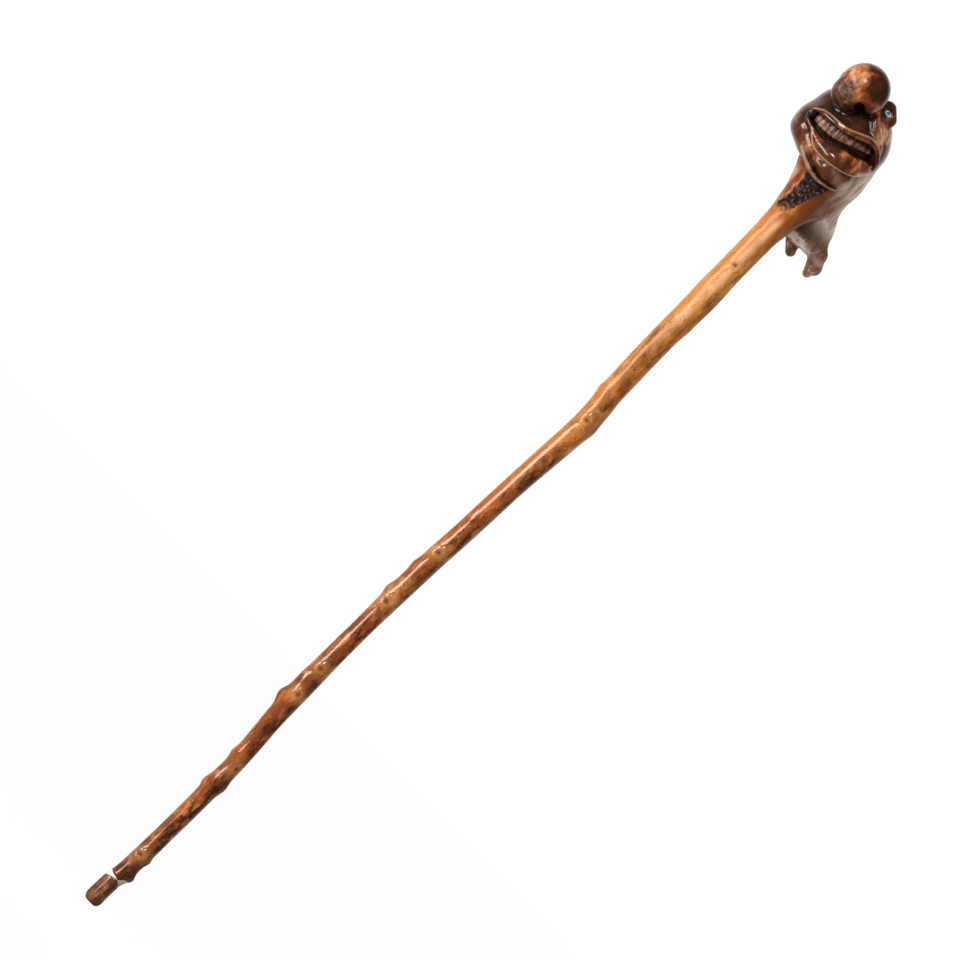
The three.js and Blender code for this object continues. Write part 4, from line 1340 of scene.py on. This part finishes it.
# Colours laid over one another, each with its zone
shaft_layers = [
    (amber_brown, ("blotch", 0.44, 0.56, 0, 0.55)),
    (deep_brown, ("blotch", 0.55, 0.7, 0, 0.7)),
    (deep_brown, ("streak", 0.48, 0.7, 0, 0.35)),
    (light_amber, ("glow", 0.52, 0.68, 0, 0.6)),
    (near_black, ("speck", 0.66, 0.72, 0, 0.95), ("blotch", 0.4, 0.5)),
    (deep_brown, ("fleck", 0.55, 0.61, 0, 0.85), ("z", 0.6, 0.4, 0.25, 1)),
    (warm_orange, ("ray", 0.56, 0.64, 0, 0.5)),
    (light_amber, ("halo", 0, 1, 0, 0.45)),
    # Pale band down the upper shaft: a painted sheen
    (painted_sheen_band, ("x", -0.008, -0.005), ("x", 0.001, -0.002), ("z", 0.62, 0.68), ("z", 0.782, 0.77),
     ("glow", 0.4, 0.55, 0.25, 0.7)),
]
figure_layers = [(near_black, ("scratch", 0.58, 0.66, 0, 0.6))]
root_layers = [
    (root_groove, ("groove", 0.56, 0.66, 0, 0.7)),
    (root_brown, ("tall", 0.12, 0.19), ("tall", 0.36, 0.28), ("x", 0.018, 0.027, 0, 0.85)),
    ("prong_color", ("prong", 0, 1), ("z", root_floor + 0.012, root_floor + 0.008)),
]
head_layers = [
    ("figure", *zones["head"]),
    (neck_ember, ("ember", 0, 1, 0, 0.7)),
    # Painted shade: darker brown on the right of the neck
    (neck_shade_brown, ("z", 0.745, 0.79, 0, 0.75), ("z", 0.828, 0.814), ("x", 0.003, 0.009)),
    # Pale strip down the left edge of the neck
    (pale_tan, ("z", 0.795, 0.805, 0, 0.7), ("z", 0.82, 0.812), ("x", -0.0205, -0.0235)),
    # Painted reflection: pale streaks at the right edge of the face
    (painted_cheek_reflection, ("worn_cheek", 0, 1)),
    # Root colours, pale partly as a painted reflection
    ("rooty", ("root", 0, 1, 0, 0.9)),
    ("tooth_color", ("tooth", 0, 1, 0, 0.85)),
    ("bark_color", ("bark", 0, 1)),
    ("scar_color", ("scar", 0, 1, 0, 0.8)),
    (near_black, ("burn", 0, burn_full)),
    # Painted shade: near black in the enclosed hollows, less where the face is paler and on the root
    (near_black, ("hollow", 0.1, 0.5, 0, 0.86), ("stain", -0.9, -0.2, 0.25, 1), ("root", 0, 1, 1, 0.4)),
    # Painted highlight along the edges of the lips, the jaw and the bark
    (pale_tan, ("rim", 0, 1, 0, 0.6)),
]


def wood_finish():
    look = Finish("carved_wood")
    chain, plus = look.chain, look.plus
    parts = dict(zip("xyz", look.split(look.place)))
    parts.update({name: look.grain(*values) for name, values in grains.items()})
    parts.update({name: look.attribute(name) for name in painted})
    for name, stops in tone_colors.items():
        parts[name + "_color"] = look.ramp(parts[name + "_tone"], stops)

    def mask(spans):
        return look.times(*[look.spread(parts[name], *span) for name, *span in spans])

    def zone(name):
        return mask(zones[name])

    def lay(color, layers):
        return look.lay(color, [(mask(spans), parts.get(over, over)) for over, *spans in layers])

    # The right of the lower shaft gets darker blotches and flecks: partly mottling, partly painted shade
    side = zone("side")
    parts["blotch"] = plus(parts["mottle"], side, zone("fade"))
    parts["fleck"] = plus(parts["fleck"], side)
    parts["slant"] = chain("SUBTRACT", parts["x"], zone("cheek_lean"))
    parts["worn_cheek"] = zone("cheek")
    above_cut = chain("SUBTRACT", parts["z"], root_start)
    parts["tall"] = plus(chain("DIVIDE", above_cut, root_reach), zone("groove_rise"))
    parts["prong"] = chain("MAXIMUM", zone("prong_low"), zone("prong_side"))
    parts["ember"] = chain("MAXIMUM", zone("right_ember"), zone("left_ember"))
    # Stains darken the head; the pale patches, partly painted highlights, lighten it
    stain_and_sheen_tone = chain("MULTIPLY", parts["stain"], stain_and_sheen_share)
    swirl = plus(parts["swirl"], stain_and_sheen_tone, zone("crest_rise"), zone("fine_rise"))
    parts["figure"] = lay(look.ramp(swirl, head_colors), figure_layers)
    parts["rooty"] = lay(look.ramp(parts["tall"], root_colors), root_layers)
    height = plus(chain("DIVIDE", parts["z"], stick_length), zone("drift_rise"))
    color = lay(lay(look.ramp(height, height_colors), shaft_layers), head_layers)

    rough = plus(zone("dull"), zone("bark_dull"), zone("streak_dull"))
    # Varnish duller on the root and where the cheek's painted reflection lies
    matte_patches = chain("MAXIMUM", parts["root"], parts["worn_cheek"])
    broken = plus(parts["bark"], parts["scar"], zone("nose"), zone("tooth_dull"), matte_patches)
    gloss = look.math("SUBTRACT", zone("coat"), look.times(broken, broken_share), True)
    gloss = chain("MAXIMUM", gloss, chain("SUBTRACT", zone("head"), broken))
    relief = look.bump(parts["streak"], *streak_bump)
    relief = look.bump(parts["mottle"], *mottle_bump, Normal=relief)
    look.fill(look.shader, {"Base Color": color, "Normal": relief, "Roughness": rough, "Coat Weight": gloss,
                            "Coat Roughness": 0.11, "Specular IOR Level": 0.12})
    return look


def dark_wood_finish():
    look = Finish("end_wood")
    streak = look.grain(*foot_streak)
    # Blotches darker towards the right side of the end piece: partly the wood, partly painted shade
    side = look.spread(look.split(look.place)["X"], *foot_shaded_side)
    dark = look.spread(look.plus(look.grain(*foot_blotch), side), *foot_dark)
    color = look.lay(look.ramp(streak, foot_colors), [(dark, deep_brown)])
    look.fill(look.shader, {"Base Color": color, "Normal": look.bump(streak, *foot_bump),
                            "Roughness": look.spread(streak, *grain_dull), "Coat Weight": 1,
                            "Coat Roughness": 0.08, "Specular IOR Level": 0.1})
    return look


def bone_finish(name, glow, clear, dull):
    look = Finish(name)
    vein = look.grain(*bone_vein)
    # Painted shade: the right flank darker grey-brown, by the share given as dull
    shaded_flank = look.spread(look.split(look.place)["X"], *collar_shade_span, dull)
    color = look.lay(clear, [(look.spread(vein, *bone_span, glow), vein_brown), (shaded_flank, collar_shade)])
    look.fill(look.shader, {"Base Color": color, "Normal": look.bump(vein, *bone_bump),
                            "Roughness": look.spread(vein, *grain_dull), "Coat Weight": 0.5,
                            "Coat Roughness": 0.1})
    return look


def dowel_finish():
    look = Finish("dowel_wood")
    streak = look.grain(*dowel_streak)
    look.fill(look.shader, {"Base Color": look.ramp(streak, dowel_colors),
                            "Normal": look.bump(streak, *dowel_bump), "Roughness": 0.7})
    return look


def bead_finish():
    look = Finish("iris_glass")
    away = look.plus(look.attribute("away"), look.spread(look.grain(*bead_grain), *bead_drift))
    look.fill(look.shader, {"Base Color": look.ramp(away, bead_colors), "Roughness": 0.12, "Coat Weight": 1,
                            "Coat Roughness": 0.03})
    return look


wood = make_wood()
tip = make_tip()
collar = make_collar()
wood_finish().on(wood)
dark_wood_finish().on(tip)
bone_finish("collar_bone", 0.7, bone_cream, 0.6).on(collar)
white_paint = bone_finish("eye_bone", 0.12, eye_white, 0)
bead_paint = bead_finish()
for eye in eyes:
    white, bead = make_eye(eye)
    white_paint.on(white)
    bead_paint.on(bead)
dowel_finish().on(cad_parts["tip_dowel"])

# Camera: level, square to the face, rolled so that the stick runs from lower left to upper right
camera_distance = 25
frame_width = 0.768
sensor_width = 36
clip_distance = 100
middle_x, middle_z = -0.0234, 0.4592
roll_cos, roll_sin = 0.69843, 0.71568
camera_data = bpy.data.cameras.new("camera")
camera_data.sensor_width = sensor_width
camera_data.lens = sensor_width * camera_distance / frame_width
camera_data.clip_end = clip_distance
camera = bpy.data.objects.new("camera", camera_data)
bpy.context.scene.collection.objects.link(camera)
right = Vector((roll_cos, 0, roll_sin))
up = Vector((-roll_sin, 0, roll_cos))
back = right.cross(up)
place = Vector((middle_x, -camera_distance, middle_z))
camera.matrix_world = Matrix([[*axis, 0] for axis in (right, up, back)] + [[*place, 1]]).transposed()
bpy.context.scene.camera = camera

# Lamps: place, what each is aimed at, width, height, power, and whether varnish mirrors it
stick_middle = (0, 0, stick_length / 2)
head_middle = (head_x, head_y, head_z)
lamps = {
    "strip": [(-1.7, -1.15, 0.7), stick_middle, 0.65, 1.7, 38, True],
    "front": [(-1.1, -2.4, 2.2), stick_middle, 0.6, 0.6, 27, True],
    "side": [(1.9, 0.1, 1.5), head_middle, 1.2, 1.6, 20, False],
}
for name, (place, target, width, height, power, mirrored) in lamps.items():
    data = bpy.data.lights.new(name, "AREA")
    data.shape = "RECTANGLE"
    data.size = width
    data.size_y = height
    data.energy = power
    lamp = bpy.data.objects.new(name, data)
    bpy.context.scene.collection.objects.link(lamp)
    lamp.location = place
    lamp.rotation_euler = (Vector(target) - Vector(place)).to_track_quat("-Z", "Z").to_euler()
    lamp.visible_glossy = mirrored

# The studio: white all round, but varnish mirrors it dark at the end where the camera stands
dark_end = 0.35
white_end = 0.95
room_levels = (0.06, 0.75)
soft_level = 0.26
floor_half = 30
floor_fade = 3
floor_seen_share = 0.985
floor_color = (0.9, 0.9, 0.9, 1)
floor_roughness = 0.9


def make_world():
    world = bpy.data.worlds.new("studio")
    bpy.context.scene.world = world
    world.use_nodes = True
    net = Network(world.node_tree)
    rays = net.nodes.new("ShaderNodeLightPath").outputs
    towards = net.split(net.nodes.new("ShaderNodeTexCoord").outputs["Generated"])["Y"]
    room = net.spread(towards, dark_end, white_end, *room_levels, "SMOOTHSTEP")
    level = soft_level
    for name, seen in (("Is Glossy Ray", room), ("Is Transmission Ray", 1), ("Is Camera Ray", 1)):
        level = net.add("Mix", {"Factor": rays[name], "A": level, "B": seen}).outputs["Result"]
    net.fill(net.nodes["Background"], {"Color": (1, 1, 1, 1), "Strength": level})


def make_floor():
    corners = [(-floor_half, -floor_half, 0), (floor_half, -floor_half, 0), (floor_half, floor_half, 0),
               (-floor_half, floor_half, 0)]
    mesh = bpy.data.meshes.new("floor")
    mesh.from_pydata(corners, [], [(0, 1, 2, 3)])
    floor = bpy.data.objects.new("floor", mesh)
    bpy.context.scene.collection.objects.link(floor)
    look = Finish("pale_floor")
    look.fill(look.shader, {"Base Color": floor_color, "Roughness": floor_roughness})
    rays = look.nodes.new("ShaderNodeLightPath").outputs
    room = look.spread(look.split(look.place)["Y"], 0, floor_fade, *room_levels, "SMOOTHSTEP")
    mirrored = look.add("Emission", {"Strength": room})
    white = look.add("Emission", {})
    seen = look.times(rays["Is Camera Ray"], floor_seen_share)
    surface = look.shader.outputs["BSDF"]
    layers = [(rays["Is Glossy Ray"], mirrored), (rays["Is Transmission Ray"], white), (seen, white)]
    for factor, glow in layers:
        node = look.add("MixShader", {0: factor, 1: surface, 2: glow.outputs["Emission"]})
        surface = node.outputs["Shader"]
    look.fill(look.nodes["Material Output"], {"Surface": surface})
    look.on(floor)


make_world()
make_floor()
bpy.context.scene.view_settings.view_transform = "Standard"
